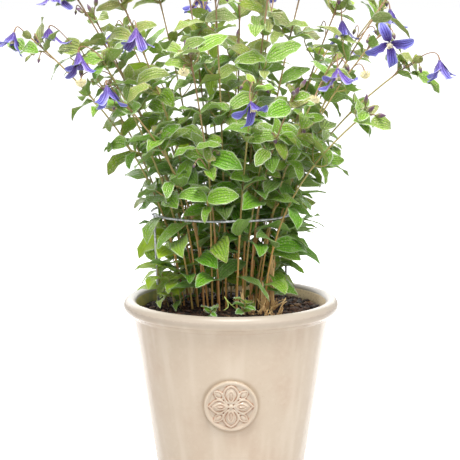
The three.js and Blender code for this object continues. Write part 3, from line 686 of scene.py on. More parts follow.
def glazed_stoneware(settings, badge):
    """Stoneware under a cream glaze: cloudy and glossy, a little browner where it runs thin."""
    material, tree = new_material("cream_glazed_stoneware")
    spot = add(tree, "TexCoord").outputs["Object"]
    # Clouds of about 70 mm, mottling of about 9 mm and iron specks of about 1 mm in the glaze.
    clouds = add(tree, "TexNoise", {"Vector": spot, "Scale": 14, "Detail": 3, "Roughness": 0.5}).outputs[0]
    mottle = add(tree, "TexNoise", {"Vector": spot, "Scale": 110, "Detail": 4, "Roughness": 0.6}).outputs[0]
    specks = add(tree, "TexNoise", {"Vector": spot, "Scale": 900, "Detail": 1}).outputs[0]
    # As it melted, the glaze sank down the wall in soft runs about 25 mm wide.
    drawn = add(tree, "Mapping", {0: spot, 3: (1.0, 1.0, 0.12)}).outputs[0]
    runs = add(tree, "TexNoise", {"Vector": drawn, "Scale": 40, "Detail": 2}).outputs[0]
    # Painted shade: a ring of darker glaze lies in the corner round the medallion, where the relief casts its
    # shadow.
    away = add(tree, "VectorMath", {0: spot, 1: badge}, operation="DISTANCE").outputs["Value"]
    near = add(tree, "MapRange", {0: away, 1: MEDALLION_RADIUS + 5 * MM, 2: MEDALLION_RADIUS + 0.5 * MM})
    beyond = add(tree, "MapRange", {0: away, 1: MEDALLION_RADIUS - 1.5 * MM, 2: MEDALLION_RADIUS})
    corner = add(tree, "Math", {0: near.outputs[0], 1: beyond.outputs[0]}, operation="MULTIPLY").outputs[0]
    height = add(tree, "SeparateXYZ", {0: spot}).outputs[2]
    pointed = add(tree, "NewGeometry").outputs["Pointiness"]
    base = layered(
        tree,
        settings.glaze,
        (settings.worn, clouds, 0.4, 0.68, 0.16),
        (0xCCBFAE, runs, 0.45, 0.7, 0.4),
        (0xC3B4A2, mottle, 0.45, 0.75, 0.3),
        (0x8A6A4E, specks, 0.7, 0.78, 0.35),
        # Painted shade round the medallion.
        (0x8E7656, corner, 0.0, 1.0, 0.4),
        # Painted shade: the rolled rim is painted a shade greyer, most of all on its top, where the lamps
        # fall brightest.
        (0x9F9385, height, 254 * MM, 262 * MM, 0.9),
        (0x948A7C, height, 263 * MM, 269 * MM, 0.9),
        # Glaze thins on the sharp ridges of the relief, and the clay shows in its grooves.
        (settings.worn, pointed, 0.516, 0.56, 0.45),
        (0x96664A, pointed, 0.496, 0.452, 0.95),
    )
    # The wall is a little uneven, in waves of about 33 mm.
    sway = add(tree, "TexNoise", {"Vector": spot, "Scale": 30, "Detail": 2}).outputs[0]
    bump = add(tree, "Bump", {"Strength": 0.12, "Distance": 1.2 * MM, "Height": sway}).outputs[0]
    # The rim is handled most, and has lost its first gloss.
    gloss = add(tree, "MapRange", {0: mottle, 1: 0.3, 2: 0.8, 3: 0.05, 4: 0.13}).outputs[0]
    handled = add(tree, "MapRange", {0: height, 1: 256 * MM, 2: 266 * MM, 4: 0.28}).outputs[0]
    rough = add(tree, "Math", {0: gloss, 1: handled}, operation="ADD").outputs[0]
    looks = {"Base Color": base, "Roughness": rough, "IOR": 1.45, "Normal": bump}
    return finished(material, add(tree, "BsdfPrincipled", looks))


def soil_splashed_glaze_painted_pale():
    """The glaze inside the pot: dull with splashed soil, painted a paler cream than the glaze outside to
    light the shaded inner wall, and olive green at one side.
    """
    material, tree = new_material("soil_stained_glaze_painted_pale")
    spot = add(tree, "TexCoord").outputs["Object"]
    # Specks of soil of about 2 mm, and patches of about 22 mm.
    specks = add(tree, "TexNoise", {"Vector": spot, "Scale": 420, "Detail": 3, "Roughness": 0.7}).outputs[0]
    patches = add(tree, "TexNoise", {"Vector": spot, "Scale": 45, "Detail": 4}).outputs[0]
    parts = add(tree, "SeparateXYZ", {0: spot}).outputs
    # Rain splashes brown the few millimetres just above the compost.
    splash = add(tree, "Math", {0: specks, 1: 0.02, 2: 0.0}, operation="MULTIPLY_ADD").outputs[0]
    height = add(tree, "Math", {0: parts[2], 1: splash}, operation="ADD").outputs[0]
    base = layered(
        tree,
        # Painted light: a paler cream than the glaze outside, standing in for light on the shaded inner wall.
        0xF4DCB6,
        (0xE0C492, patches, 0.4, 0.7, 0.7),
        (0x80644A, specks, 0.58, 0.68, 0.6),
        (0x6E543E, height, SOIL_TOP + 16 * MM, SOIL_TOP + 6 * MM, 0.7),
        # Olive green, towards the side at -X.
        (laid_over(tree, 0xC0B43C, 0x8C9224, patches, 0.35, 0.65), parts[0], -0.03, -0.085, 0.9),
    )
    return finished(material, add(tree, "BsdfPrincipled", {"Base Color": base, "Roughness": 0.5}))


def bark_compost(settings):
    """Damp peat and fine bark: nearly black, with dry brown crumbs on top, and no shine."""
    material, tree = new_material("bark_compost")
    spot = add(tree, "TexCoord").outputs["Object"]
    # Crumbs of about 3 mm over peat grains of about 1 mm.
    crumbs = add(tree, "TexVoronoi", {"Vector": spot, "Scale": 330}).outputs
    grains = add(tree, "TexNoise", {"Vector": spot, "Scale": 900, "Detail": 3}).outputs[0]
    parts = add(tree, "SeparateColor", {0: crumbs["Color"]}).outputs
    tint = painted(tree)
    base = layered(
        tree,
        settings.dark,
        (settings.bark, parts[0], 0.45, 1.0),
        (0x7A5A3A, grains, 0.58, 0.72, 0.5),
        # A loose crumb's own tint makes some of them dry bark, and a few fresh, pale wood.
        (settings.bark, tint[0], 0.4, 0.9, 0.6),
        (0xA8845A, tint[0], 0.88, 0.99, 0.8),
    )
    relief = add(tree, "Math", {0: crumbs["Distance"], 1: grains}, operation="ADD").outputs[0]
    bump = add(tree, "Bump", {"Strength": 0.8, "Distance": 1.5 * MM, "Height": relief}).outputs[0]
    looks = {"Base Color": base, "Roughness": 0.85, "Normal": bump}
    return finished(material, add(tree, "BsdfPrincipled", looks))


def galvanised_wire(settings):
    """Zinc-coated steel wire: dull grey, with a cloudy spangle and a broad soft highlight."""
    material, tree = new_material("galvanised_steel")
    spot = add(tree, "TexCoord").outputs["Object"]
    # Crystals of zinc of about 4 mm.
    spangle = add(tree, "TexNoise", {"Vector": spot, "Scale": 260, "Detail": 3}).outputs[0]
    base = laid_over(tree, settings.zinc, 0x8A8C90, spangle, 0.35, 0.7)
    gloss = add(tree, "MapRange", {0: spangle, 1: 0.3, 2: 0.7, 3: 0.3, 4: 0.5}).outputs[0]
    looks = {"Base Color": base, "Metallic": 0.85, "Roughness": gloss}
    return finished(material, add(tree, "BsdfPrincipled", looks))


def living_stem(settings):
    """A ribbed herbaceous stem: tan wood low down, olive in the middle, downy purple-brown above."""
    material, tree = new_material("clematis_stem")
    tint = painted(tree)
    marks = add(tree, "SeparateXYZ", {0: add(tree, "UVMap", uv_map="surface").outputs[0]}).outputs
    # Six ribs run up a stem about 3 mm thick.
    turns = add(tree, "Math", {0: marks[1], 1: 19.0}, operation="MULTIPLY").outputs[0]
    ribs = add(tree, "Math", {0: turns}, operation="SINE").outputs[0]
    base = layered(
        tree,
        settings.low,
        (settings.middle, tint[1], 0.12, 0.4),
        (settings.high, tint[1], 0.45, 0.85),
        # Some stems are greener than the others, and some redder.
        (0x8A8A3C, tint[0], 0.45, 0.95, 0.55),
        (0x7A4A2A, tint[0], 0.3, 0.05, 0.5),
        (0x5A3A26, ribs, -1.0, 1.0, 0.35),
    )
    bump = add(tree, "Bump", {"Strength": 0.5, "Distance": 0.3 * MM, "Height": ribs}).outputs[0]
    looks = {"Base Color": base, "Roughness": 0.5, "Normal": bump, "Sheen Weight": 0.25}
    return finished(material, add(tree, "BsdfPrincipled", looks | {"Sheen Roughness": 0.5}))


def vein_mask(tree, across, lines):
    """1 on the lines that run along a blade at given places across it, fading to 0 beside them."""
    away = add(tree, "Math", {0: across}, operation="ABSOLUTE").outputs[0]
    mask = 0.0
    for place, width in lines:
        off = add(tree, "Math", {0: away, 1: place}, operation="SUBTRACT").outputs[0]
        line = add(tree, "Math", {0: off}, operation="ABSOLUTE").outputs[0]
        reach = {0: line, 1: 0.0, 2: width, 3: 1.0, 4: 0.0}
        soft = add(tree, "MapRange", reach, interpolation_type="SMOOTHSTEP").outputs[0]
        mask = add(tree, "Math", {0: mask, 1: soft}, operation="MAXIMUM").outputs[0]
    return mask


def lit_through(tree, shader, bump, base, stained, stain, share):
    """A thin blade's shader, and a share of light that comes through it, stained by its flesh."""
    glow = add(tree, "Mix", {0: stain, 6: base, 7: colour(stained)}, data_type="RGBA").outputs[2]
    through = add(tree, "BsdfTranslucent", {"Color": glow, "Normal": bump})
    return add(tree, "MixShader", {0: share, 1: shader.outputs[0], 2: through.outputs[0]})


def leaf_blade(settings, under):
    """A downy leaf, lit from both sides: sunken parallel veins above, raised grey ones below."""
    material, tree = new_material("clematis_leaf_under" if under else "clematis_leaf")
    spot = add(tree, "TexCoord").outputs["Object"]
    paint = add(tree, "Attribute", attribute_name="tint").outputs
    tint = add(tree, "SeparateColor", {0: paint["Color"]}).outputs
    marks = add(tree, "UVMap", uv_map="surface").outputs[0]
    across = add(tree, "SeparateXYZ", {0: marks}).outputs[1]
    # Blotches of about 11 mm.
    blotch = add(tree, "TexNoise", {"Vector": spot, "Scale": 90, "Detail": 3}).outputs[0]
    # The net of small veins has meshes of about 2 mm, drawn at 3 mm to show, and the skin between
    # its lines is raised and pale; its pale, whiter high on the plant, is also painted sheen of lit leaves.
    net = add(tree, "TexVoronoi", {"Vector": spot, "Scale": 310}, feature="DISTANCE_TO_EDGE").outputs[0]
    pale = laid_over(tree, 0xB8C084, 0xE2D8B8, tint[1], 0.05, 0.5)
    veins = vein_mask(tree, across, ((0.0, 0.08), (0.34, 0.06), (0.64, 0.055)))
    base = layered(
        tree,
        settings.shade,
        (settings.middle, tint[1], 0.0, 0.4),
        (settings.upper, tint[1], 0.5, 0.95),
        # Leaves differ: some are greyer and downier, some olive, and some painted dark as leaves in shade.
        (0x86A070, paint["Alpha"], 0.35, 0.0, 0.45),
        (0xB2A83A, paint["Alpha"], 0.7, 1.0, 0.45),
        (settings.shade, tint[0], 0.38, 0.05, 0.6),
        (settings.shade, blotch, 0.4, 0.7, 0.35),
        # Painted sheen: the pale net also whitens the leaves as their sheen would.
        (pale, net, 0.08, 0.42, 0.62),
        (0xA3BF7E if under else 0x2E5A08, veins, 0.1, 0.9, 0.65),
        # Painted light: the highest tints are a young yellow green that also paints in sunlit and backlit
        # leaves.
        (settings.young, tint[0], 0.9, 1.0, 0.8),
    )
    # Grey down stands on the last millimetre or so of the margin, most of all high on the plant,
    # where some of it has dried brown.
    down = laid_over(tree, 0xD2DAC2, 0x9A7A50, paint["Alpha"], 0.6, 0.9, 0.9)
    edge = add(tree, "MapRange", {0: tint[2], 1: 0.17, 2: 0.03}, interpolation_type="SMOOTHSTEP").outputs[0]
    downy = add(tree, "MapRange", {0: tint[1], 1: 0.0, 2: 0.6, 3: 0.45, 4: 1.0}).outputs[0]
    rim = add(tree, "Math", {0: edge, 1: downy}, operation="MULTIPLY").outputs[0]
    base = add(tree, "Mix", {0: rim, 6: base, 7: down}, data_type="RGBA").outputs[2]
    if under:
        base = add(tree, "Mix", {0: 0.3, 6: base, 7: colour(0xA6B67C)}, data_type="RGBA").outputs[2]
    sunk = add(tree, "Math", {0: net, 1: veins}, operation="SUBTRACT").outputs[0]
    lift = (-0.8 if under else 0.8) * MM
    bump = add(tree, "Bump", {"Strength": 0.9, "Distance": lift, "Height": sunk}).outputs[0]
    looks = {"Base Color": base, "Roughness": 0.6 if under else 0.38, "IOR": 1.45, "Normal": bump}
    shader = add(tree, "BsdfPrincipled", looks | {"Sheen Weight": 0.09, "Sheen Roughness": 0.4})
    return finished(material, lit_through(tree, shader, bump, base, 0xBCD648, 0.4, 0.36))


def sepal_skin(settings, outer):
    """A sepal: violet blue with darker ribs, paler towards its crisped edges, softly velvety."""
    material, tree = new_material("clematis_sepal_back" if outer else "clematis_sepal")
    tint = painted(tree)
    marks = add(tree, "SeparateXYZ", {0: add(tree, "UVMap", uv_map="surface").outputs[0]}).outputs
    spot = add(tree, "TexCoord").outputs["Object"]
    # The pale margin starts a fifth of the way down, and is about 2 mm wide.
    edge = add(tree, "MapRange", {0: tint[2], 1: 0.22, 2: 0.03}).outputs[0]
    grown = add(tree, "MapRange", {0: marks[0], 1: 0.2, 2: 0.55}).outputs[0]
    border = add(tree, "Math", {0: edge, 1: grown}, operation="MULTIPLY").outputs[0]
    # Pale flecks of about 1.4 mm.
    flecks = add(tree, "TexNoise", {"Vector": spot, "Scale": 700, "Detail": 2}).outputs[0]
    ribs = vein_mask(tree, marks[1], zip(RIB_PLACES, (0.2, 0.18)))
    # It is purple where it leaves the stalk and blue towards its tip, more or less from flower to
    # flower.
    base = layered(
        tree,
        0x503496,
        (settings.violet, marks[0], 0.2, 0.7),
        (0x7A4AA2, tint[0], 0.4, 1.0, 0.75),
        (0x7A88D8, marks[0], 0.6, 1.0, 0.6),
        (settings.margin, border, 0.0, 1.0, 0.85),
        (settings.margin, flecks, 0.45, 0.75, 0.35),
        (settings.rib, ribs, 0.0, 0.9, 0.9 if outer else 0.6),
    )
    bump = add(tree, "Bump", {"Strength": 0.6, "Distance": 0.5 * MM, "Height": ribs}).outputs[0]
    looks = {"Base Color": base, "Roughness": 0.5, "Normal": bump, "Sheen Weight": 0.12}
    shader = add(tree, "BsdfPrincipled", looks | {"Sheen Roughness": 0.4})
    return finished(material, lit_through(tree, shader, bump, base, 0x7A6AD0, 0.25, 0.25))


def plain_growth(name, low, high, roughness, sheen):
    """Soft plant matter that goes from one colour to another with its tint, such as a bud."""
    material, tree = new_material(name)
    spot = add(tree, "TexCoord").outputs["Object"]
    tint = painted(tree)
    # Mottling of about 2 mm.
    mottle = add(tree, "TexNoise", {"Vector": spot, "Scale": 500, "Detail": 2}).outputs[0]
    base = layered(tree, low, (high, tint[1], 0.0, 1.0), (high, mottle, 0.4, 0.8, 0.5))
    looks = {"Base Color": base, "Roughness": roughness, "Sheen Weight": sheen, "Sheen Roughness": 0.5}
    return finished(material, add(tree, "BsdfPrincipled", looks))


def dry_fibre():
    """Last year's stems: sun-bleached tan fibre, split along its length and quite dull."""
    material, tree = new_material("dry_stem_fibre")
    # Fibres about 2 mm long and a fiftieth of the strand's girth wide.
    marks = add(tree, "UVMap", uv_map="surface").outputs[0]
    stretch = add(tree, "Mapping", {0: marks, 3: (0.15, 9.0, 1.0)}).outputs[0]
    grain = add(tree, "TexNoise", {"Vector": stretch, "Scale": 3, "Detail": 4}).outputs[0]
    browned = (0x9A6028, painted(tree)[0], 0.6, 1.0, 0.7)
    base = layered(tree, 0xF6D9A0, (0xD09A50, grain, 0.4, 0.75), browned)
    bump = add(tree, "Bump", {"Strength": 0.7, "Distance": 0.6 * MM, "Height": grain}).outputs[0]
    looks = {"Base Color": base, "Roughness": 0.75, "Normal": bump}
    return finished(material, add(tree, "BsdfPrincipled", looks))


# ------------------------------------------------------------------ turned pieces


def turned(name, profile, steps):
    """A turned shape about Z, drawn out ring by ring as (radius, height) goes. A profile that starts
    or ends on the axis is closed there."""
    deselect()
    start_radius = max(profile[0][0], POLE_RADIUS)
    bpy.ops.mesh.primitive_circle_add(vertices=steps, radius=start_radius, location=(0, 0, profile[0][1]))
    made = bpy.context.object
    made.name = name
    bpy.ops.object.mode_set(mode="EDIT")
    bpy.ops.mesh.select_mode(type="VERT")
    bpy.ops.mesh.select_all(action="SELECT")
    if profile[0][0] == 0:
        bpy.ops.mesh.extrude_region_move(TRANSFORM_OT_translate={"value": (0, 0, 0)})
    radius, height = start_radius, profile[0][1]
    for next_radius, next_height in profile[1:]:
        wanted = max(next_radius, POLE_RADIUS)
        bpy.ops.mesh.extrude_region_move(TRANSFORM_OT_translate={"value": (0, 0, next_height - height)})
        share = wanted / radius
        bpy.ops.transform.resize(value=(share, share, 1), center_override=(0, 0, next_height))
        radius, height = wanted, next_height
    bpy.ops.object.mode_set(mode="OBJECT")
    return made


def close_poles(made):
    """Draw the ends of a turned shape together, and turn its faces outwards."""
    pick(made)
    bpy.ops.object.mode_set(mode="EDIT")
    bpy.ops.mesh.select_all(action="SELECT")
    bpy.ops.mesh.remove_doubles(threshold=2.5 * POLE_RADIUS)
    bpy.ops.mesh.normals_make_consistent(inside=False)
    bpy.ops.object.mode_set(mode="OBJECT")
    bpy.ops.object.transform_apply(location=True, rotation=True, scale=True)
    return made


def apply_modifier(made, kind, **settings):
    """Add a modifier with these settings, and apply it."""
    pick(made)
    modifier = made.modifiers.new(kind.title(), kind)
    for key, value in settings.items():
        setattr(modifier, key, value)
    bpy.ops.object.modifier_apply(modifier=modifier.name)


def joined(pieces, name):
    """Pieces joined into one of a new name."""
    pick(*pieces)
    bpy.ops.object.join()
    pieces[0].name = pieces[0].data.name = name
    return pieces[0]


def rounded(profile, steps=4, share=0.4):
    """A profile with each inner corner cut to a small curve, by drawing a quadratic through it."""
    made = [profile[0]]
    for before, corner, after in zip(profile, profile[1:], profile[2:]):
        a = [c + (b - c) * share for b, c in zip(before, corner)]
        d = [c + (b - c) * share for b, c in zip(after, corner)]
        for i in range(steps + 1):
            t = i / steps
            made.append(
                tuple(p * (1 - t) ** 2 + c * 2 * t * (1 - t) + q * t * t for p, c, q in zip(a, corner, d))
            )
    made.append(profile[-1])
    return made


# ------------------------------------------------------------------ operators


class PieceOperator:
    """What the operators of this add-on share: each has a build that makes its pieces."""

    bl_options = {"REGISTER", "UNDO"}

    def execute(self, context):
        self.build(context.scene)
        return {"FINISHED"}


class CLEMATIS_OT_add_pot(PieceOperator, bpy.types.Operator):
    """Turn the glazed pot and seat its round flower medallion on the front"""

    bl_idname = "clematis.add_pot"
    bl_label = "Add Pot"

    def wall(self, pot, z):
        """The outer radius of the wall at a height."""
        return pot.foot_radius + pot.wall_flare * z

    def bore(self, pot, z):
        """The wall's inner edge at a height, as (radius, height)."""
        return self.wall(pot, z) - pot.wall_thick, z

    def build(self, scene):
        pot = scene.clematis_pot
        top = pot.height
        crest = top - ROLL_DEPTH
        roll = []
        for turn in (math.radians(15 * k) for k in range(-5, 12)):
            out = pot.lip_radius - ROLL_HALF_WIDTH + ROLL_HALF_WIDTH * math.cos(turn)
            roll.append((out, top - ROLL_HALF_HEIGHT + ROLL_HALF_HEIGHT * math.sin(turn)))
        section = [
            (0, 0),
            (pot.foot_radius - 3 * MM, 0),
            (self.wall(pot, 3 * MM), 3 * MM),
            (self.wall(pot, crest - 4 * MM), crest - 4 * MM),
            (self.wall(pot, crest), crest - 1 * MM),
            *roll,
            self.bore(pot, crest - 6 * MM),
            self.bore(pot, BASE_THICK),
            (0, BASE_THICK),
        ]
        body = close_poles(turned("glazed_pot", rounded(section), 144))
        badge_place = (0, -self.wall(pot, MEDALLION_Z), MEDALLION_Z)
        glaze = glazed_stoneware(pot, badge_place)
        for finish in (glaze, soil_splashed_glaze_painted_pale()):
            body.data.materials.append(finish)
        for face in body.data.polygons:
            middle = face.center
            inward = face.normal.x * middle.x + face.normal.y * middle.y < 0
            face.material_index = 1 if inward and middle.z < top - 5 * MM else 0
        badge = self.medallion(pot)
        badge.data.materials.append(glaze)
        made = joined([body, badge], "glazed_pot")
        smooth_by_angle(made, 50)
        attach(made, "root")
        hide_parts("pot")

    def medallion(self, pot):
        """A cast rosette: four round petals with rolled edges round a boss, leaf points between
        them, and a rounded border. Its parts are melted together as glaze does."""
        radius = MEDALLION_RADIUS
        section = [
            (0, -9 * MM),
            (radius - 2 * MM, -9 * MM),
            (radius, 0),
            (radius - 0.6 * MM, 2.4 * MM),
            (radius - 2.8 * MM, 3.4 * MM),
            (radius - 5.2 * MM, 2.2 * MM),
            (radius - 6.5 * MM, 1.0 * MM),
            (0, 1.4 * MM),
        ]
        disc = close_poles(turned("medallion", rounded(section), 72))
        pieces = [disc, self.lump((3.4, 3.4, 4.4), 0, 0)]
        for i in range(4):
            turn = math.pi / 2 * i
            # The petals above and below are rounder than the two beside them.
            wide, power = (9.4, 0.6) if i % 2 else (9.0, 0.95)
            pieces.append(self.lump((10.4, wide * 0.8, 2.6), 15.6, turn))
            pieces.append(self.edging(3.6, 27.4, wide, power, turn, 1.35, 2.3))
            pieces.append(self.edging(6.0, 21.0, wide * 0.45, power, turn, 0.95, 3.4))
            pieces.append(self.lump((6.4, 0.7, 4.2), 13.4, turn))
            between = turn + math.pi / 4
            pieces.append(self.lump((5.0, 3.0, 2.4), 22.6, between))
            pieces.append(self.edging(14.8, 28.8, 4.4, 0.8, between, 0.95, 2.2))
        badge = joined(pieces, "medallion")
        apply_modifier(badge, "REMESH", mode="VOXEL", voxel_size=0.62 * MM)
        apply_modifier(badge, "SMOOTH", factor=0.5, iterations=3)
        lean = math.pi / 2 + math.atan(pot.wall_flare)
        seat = Matrix.Translation((0, -self.wall(pot, MEDALLION_Z) - 0.6 * MM, MEDALLION_Z))
        badge.data.transform(seat @ Matrix.Rotation(lean, 4, "X"))
        return badge

    def lump(self, halves, away, turn):
        """A rounded lump with half sizes in millimetres, moved out along a direction."""
        deselect()
        bpy.ops.mesh.primitive_uv_sphere_add(segments=20, ring_count=12, radius=MM)
        bpy.ops.transform.resize(value=halves)
        bpy.ops.transform.translate(value=(away * MM, 0, 1.0 * MM))
        made = bpy.context.object
        bpy.ops.object.transform_apply(location=True, rotation=True, scale=True)
        made.data.transform(Matrix.Rotation(turn, 4, "Z"))
        return made

    def edging(self, near, far, half, power, turn, thick, height):
        """The rolled edge of a petal, from its root to its point and back, in millimetres."""
        path = []
        for i in range(33):
            way = abs(1 - i / 16)
            side = 1 if i < 16 else -1
            swell = side * half * math.sin(math.pi * (1 - way)) ** power if 0 < way < 1 else 0.0
            path.append(Vector((far - (far - near) * way, swell, height)) * MM)
        skin = Skin()
        add_tube(skin, path, thick * MM, 8, 0, (0, 0, 0, 1))
        made = skin.piece("edging", [])
        made.data.transform(Matrix.Rotation(turn, 4, "Z"))
        return made


class CLEMATIS_OT_add_compost(PieceOperator, bpy.types.Operator):
    """Fill the pot with bark compost and scatter loose crumbs on it"""

    bl_idname = "clematis.add_compost"
    bl_label = "Add Compost"

    def height(self, x, y, edge, mound):
        """The height of the compost at x and y: a low mound, waved, and rough with bark."""
        spread = min(1.0, math.hypot(x, y) / edge)
        crumbs = math.sin(x / MM * 0.31 + 1) * math.cos(y / MM * 0.27) * 1.6
        crumbs += math.sin(x / MM * 0.13 - y / MM * 0.19) * 1.4
        rough = noise.noise(Vector((x, y, 0)) * 210) * 2.2 + noise.noise(Vector((x, y, 4)) * 480) * 1.3
        return SOIL_TOP + mound * (1 - spread * spread) + (crumbs + rough) * MM * (1 - 0.6 * spread**6)

    def build(self, scene):
        pot, settings = scene.clematis_pot, scene.clematis_compost
        edge = pot.foot_radius + pot.wall_flare * SOIL_TOP - pot.wall_thick - 0.4 * MM
        rings = [(edge * i / 44, SOIL_TOP) for i in range(43, 0, -1)]
        below = [(0, SOIL_FOOT), (edge - 6 * MM, SOIL_FOOT), (edge, SOIL_TOP - 1 * MM)]
        made = close_poles(turned("bark_compost", [*below, *rings, (0, SOIL_TOP)], 128))
        for vertex in made.data.vertices:
            x, y, z = vertex.co
            if z > SOIL_TOP - 0.5 * MM and math.hypot(x, y) < edge - MM:
                vertex.co.z = self.height(x, y, edge, settings.mound)
        finish = bark_compost(settings)
        made.data.materials.append(finish)
        smooth_by_angle(made, 60)
        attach(made, "root")
        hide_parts("soil")
        self.scatter(settings, edge, finish)

    def scatter(self, settings, edge, finish):
        """Loose crumbs: one rough chip, copied with its own size, turn and place each time."""
        rng = random.Random(11)
        deselect()
        bpy.ops.mesh.primitive_ico_sphere_add(subdivisions=1, radius=1)
        chip = bpy.context.object
        corners = [v.co * rng.uniform(0.75, 1.2) for v in chip.data.vertices]
        faces = [list(p.vertices) for p in chip.data.polygons]
        bpy.data.objects.remove(chip)
        skin = Skin()
        for _ in range(settings.crumbs):
            reach, turn = edge * 0.985 * math.sqrt(rng.random()), rng.uniform(0, 2 * math.pi)
            x, y = reach * math.cos(turn), reach * math.sin(turn)
            size = rng.choice(CRUMB_SIZES) * MM
            shape = Matrix.Diagonal((size * rng.uniform(0.8, 1.9), size, size * rng.uniform(0.4, 0.8)))
            spin = Matrix.Rotation(rng.uniform(0, 6.3), 3, "Z")
            shape = spin @ Matrix.Rotation(rng.uniform(-0.5, 0.5), 3, "X") @ shape
            place = Vector((x, y, self.height(x, y, edge, settings.mound) + size * 0.25))
            points = [place + shape @ corner for corner in corners]
            skin.add(points, faces, 0, [(0, 0)] * len(points), [(rng.random(), 0, 0, 1)] * len(points))
        made = skin.piece("bark_crumbs", [finish], smooth=25)
        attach(made, "root")


class CLEMATIS_OT_add_wire_support(PieceOperator, bpy.types.Operator):
    """Bend the wire ring and weld its three legs to it"""

    bl_idname = "clematis.add_wire_support"
    bl_label = "Add Wire Support"

    def build(self, scene):
        wire = scene.clematis_wire
        deselect()
        bpy.ops.mesh.primitive_torus_add(
            location=(wire.ring_x, wire.ring_y, RING_Z),
            major_segments=160,
            minor_segments=12,
            major_radius=wire.ring_radius,
            minor_radius=wire.wire_radius,
        )
        pieces = [bpy.context.object]
        bpy.ops.object.transform_apply(location=True, rotation=True, scale=True)
        for angle, soil_x, soil_y in LEGS:
            turn = math.radians(angle)
            across, inward = math.cos(turn) * wire.ring_radius, math.sin(turn) * wire.ring_radius
            top = Vector((wire.ring_x + across, wire.ring_y + inward, RING_Z))
            ground = Vector((soil_x * MM, soil_y * MM, SOIL_TOP))
            foot = top.lerp(ground, (RING_Z - LEG_FOOT) / (RING_Z - SOIL_TOP))
            pieces.append(self.rod(top + (top - foot).normalized() * MM, foot, wire.wire_radius))
            pieces.append(self.weld(top, wire.wire_radius))
        made = joined(pieces, "wire_ring_and_legs")
        made.data.materials.clear()
        made.data.materials.append(galvanised_wire(wire))
        smooth_by_angle(made, 50)
        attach(made, "root")
        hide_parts("wire_support")

    def rod(self, top, foot, radius):
        """A straight length of wire from one point to another."""
        deselect()
        bpy.ops.mesh.primitive_cylinder_add(vertices=14, radius=radius, depth=(top - foot).length)
        made = bpy.context.object
        along = (foot - top).normalized()
        lean = along.to_track_quat("Z", "Y").to_matrix().to_4x4()
        made.data.transform(Matrix.Translation((top + foot) / 2) @ lean)
        return made

    def weld(self, place, radius):
        """The bead of metal where a leg is welded on."""
        deselect()
        bpy.ops.mesh.primitive_uv_sphere_add(segments=14, ring_count=10, radius=radius * 1.45)
        bpy.ops.transform.resize(value=(1.25, 1.25, 0.9))
        made = bpy.context.object
        bpy.ops.object.transform_apply(location=True, rotation=True, scale=True)
        made.data.transform(Matrix.Translation(place))
        return made


def leaf_plan(stem, index, curve):
    """Every pair of leaves that a stem bears, lowest first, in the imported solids' own order."""
    reach = (curve[3] - curve[0]).length
    span = reach - STEM_DEPTH - FIRST_PAIR - TOP_GAP
    pairs = max(2, math.floor(span / PAIR_SPACING + 0.5) + 1)
    plan = []
    for pair in range(pairs):
        draw = Draw(index * 64 + pair)
        share = pair / (pairs - 1)
        along = FIRST_PAIR + span * share**PAIR_CROWDING + (draw() - 0.5) * 22 * MM
        facing = stem[6] + (draw() - 0.5) * 36
        size = 0.86 + 0.26 * math.sin(math.pi * min(1, 0.25 + share)) - 0.26 * share**3
        leaves = [
            {
                "heading": facing + (pair % 2 + opposite) * 90,
                "lift": 26 + 20 * share + (draw() - 0.5) * 56,
                "droop": 70 - 20 * share + (draw() - 0.5) * 60,
                "roll": (draw() - 0.5) * 84,
                "size": size * (0.88 + draw() * 0.28),
            }
            for opposite in (0, 2)
        ]
        plan.append((min((STEM_DEPTH + along) / reach, 0.97), facing, share, leaves))
    return plan


def drawn_leaf(rng, heading, lifts, droops, roll, size, shares):
    """A leaf that heads about one way, with its lift, droop and share of a size drawn from ranges,
    and rolled by at most so much to either side. The angles are in degrees."""
    return {
        "heading": heading + rng.uniform(-20, 20),
        "lift": rng.uniform(*lifts),
        "droop": rng.uniform(*droops),
        "roll": rng.uniform(-roll, roll),
        "size": size * rng.uniform(*shares),
    }


def leaf_on(curve, t, leaf, settings, turn=0, rise=0):
    """The blade of a leaf at t on a stem, turned about it and raised by so many degrees."""
    up = heading_of(curve, t)
    low, high = LIFT_LIMITS
    return Blade(
        bezier(curve, t),
        square_to(up, leaf["heading"] + turn),
        up,
        math.radians(min(max(leaf["lift"] + rise, low), high)),
        math.radians(leaf["droop"]),
        math.radians(leaf["roll"]),
        settings.length * leaf["size"],
        settings.length * leaf["size"] * settings.width_share,
        LEAF_POWERS,
    )


def faced_out(blade, share):
    """Roll a leaf so that its upper face turns from the middle of the plant to the light."""
    # Its faces are judged two fifths of the way along it.
    middle = blade.lift - blade.droop * 0.4
    square = blade.up * math.cos(middle) - blade.out * math.sin(middle)
    wanted = np.array([blade.origin[0], blade.origin[1] - 0.05, 0.0])
    wanted = wanted / (np.linalg.norm(wanted) + 1e-6) * 0.9 + np.array([0.0, 0.0, 0.55])
    best = math.atan2(-wanted @ blade.side, wanted @ square)
    blade.roll = blade.roll * 0.6 + max(-1.1, min(1.1, best)) * share
    return blade


def packed_tips(node):
    """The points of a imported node, to find which way each of its leaves went."""
    points = [v.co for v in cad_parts[node].data.vertices]
    tree = kdtree.KDTree(len(points))
    for i, point in enumerate(points):
        tree.insert(point, i)
    tree.balance()
    return tree


def as_packed(tips, curve, t, leaf, settings):
    """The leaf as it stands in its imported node, or None if it was left out there."""
    for rise in LEAF_LIFTS:
        for turn in LEAF_TURNS:
            blade = leaf_on(curve, t, leaf, settings, turn, rise)
            (tip,), _, _ = blade.at(1.0, 0.0)
            if tips.find(Vector(tip))[2] < TIP_MATCH:
                return blade
    return None


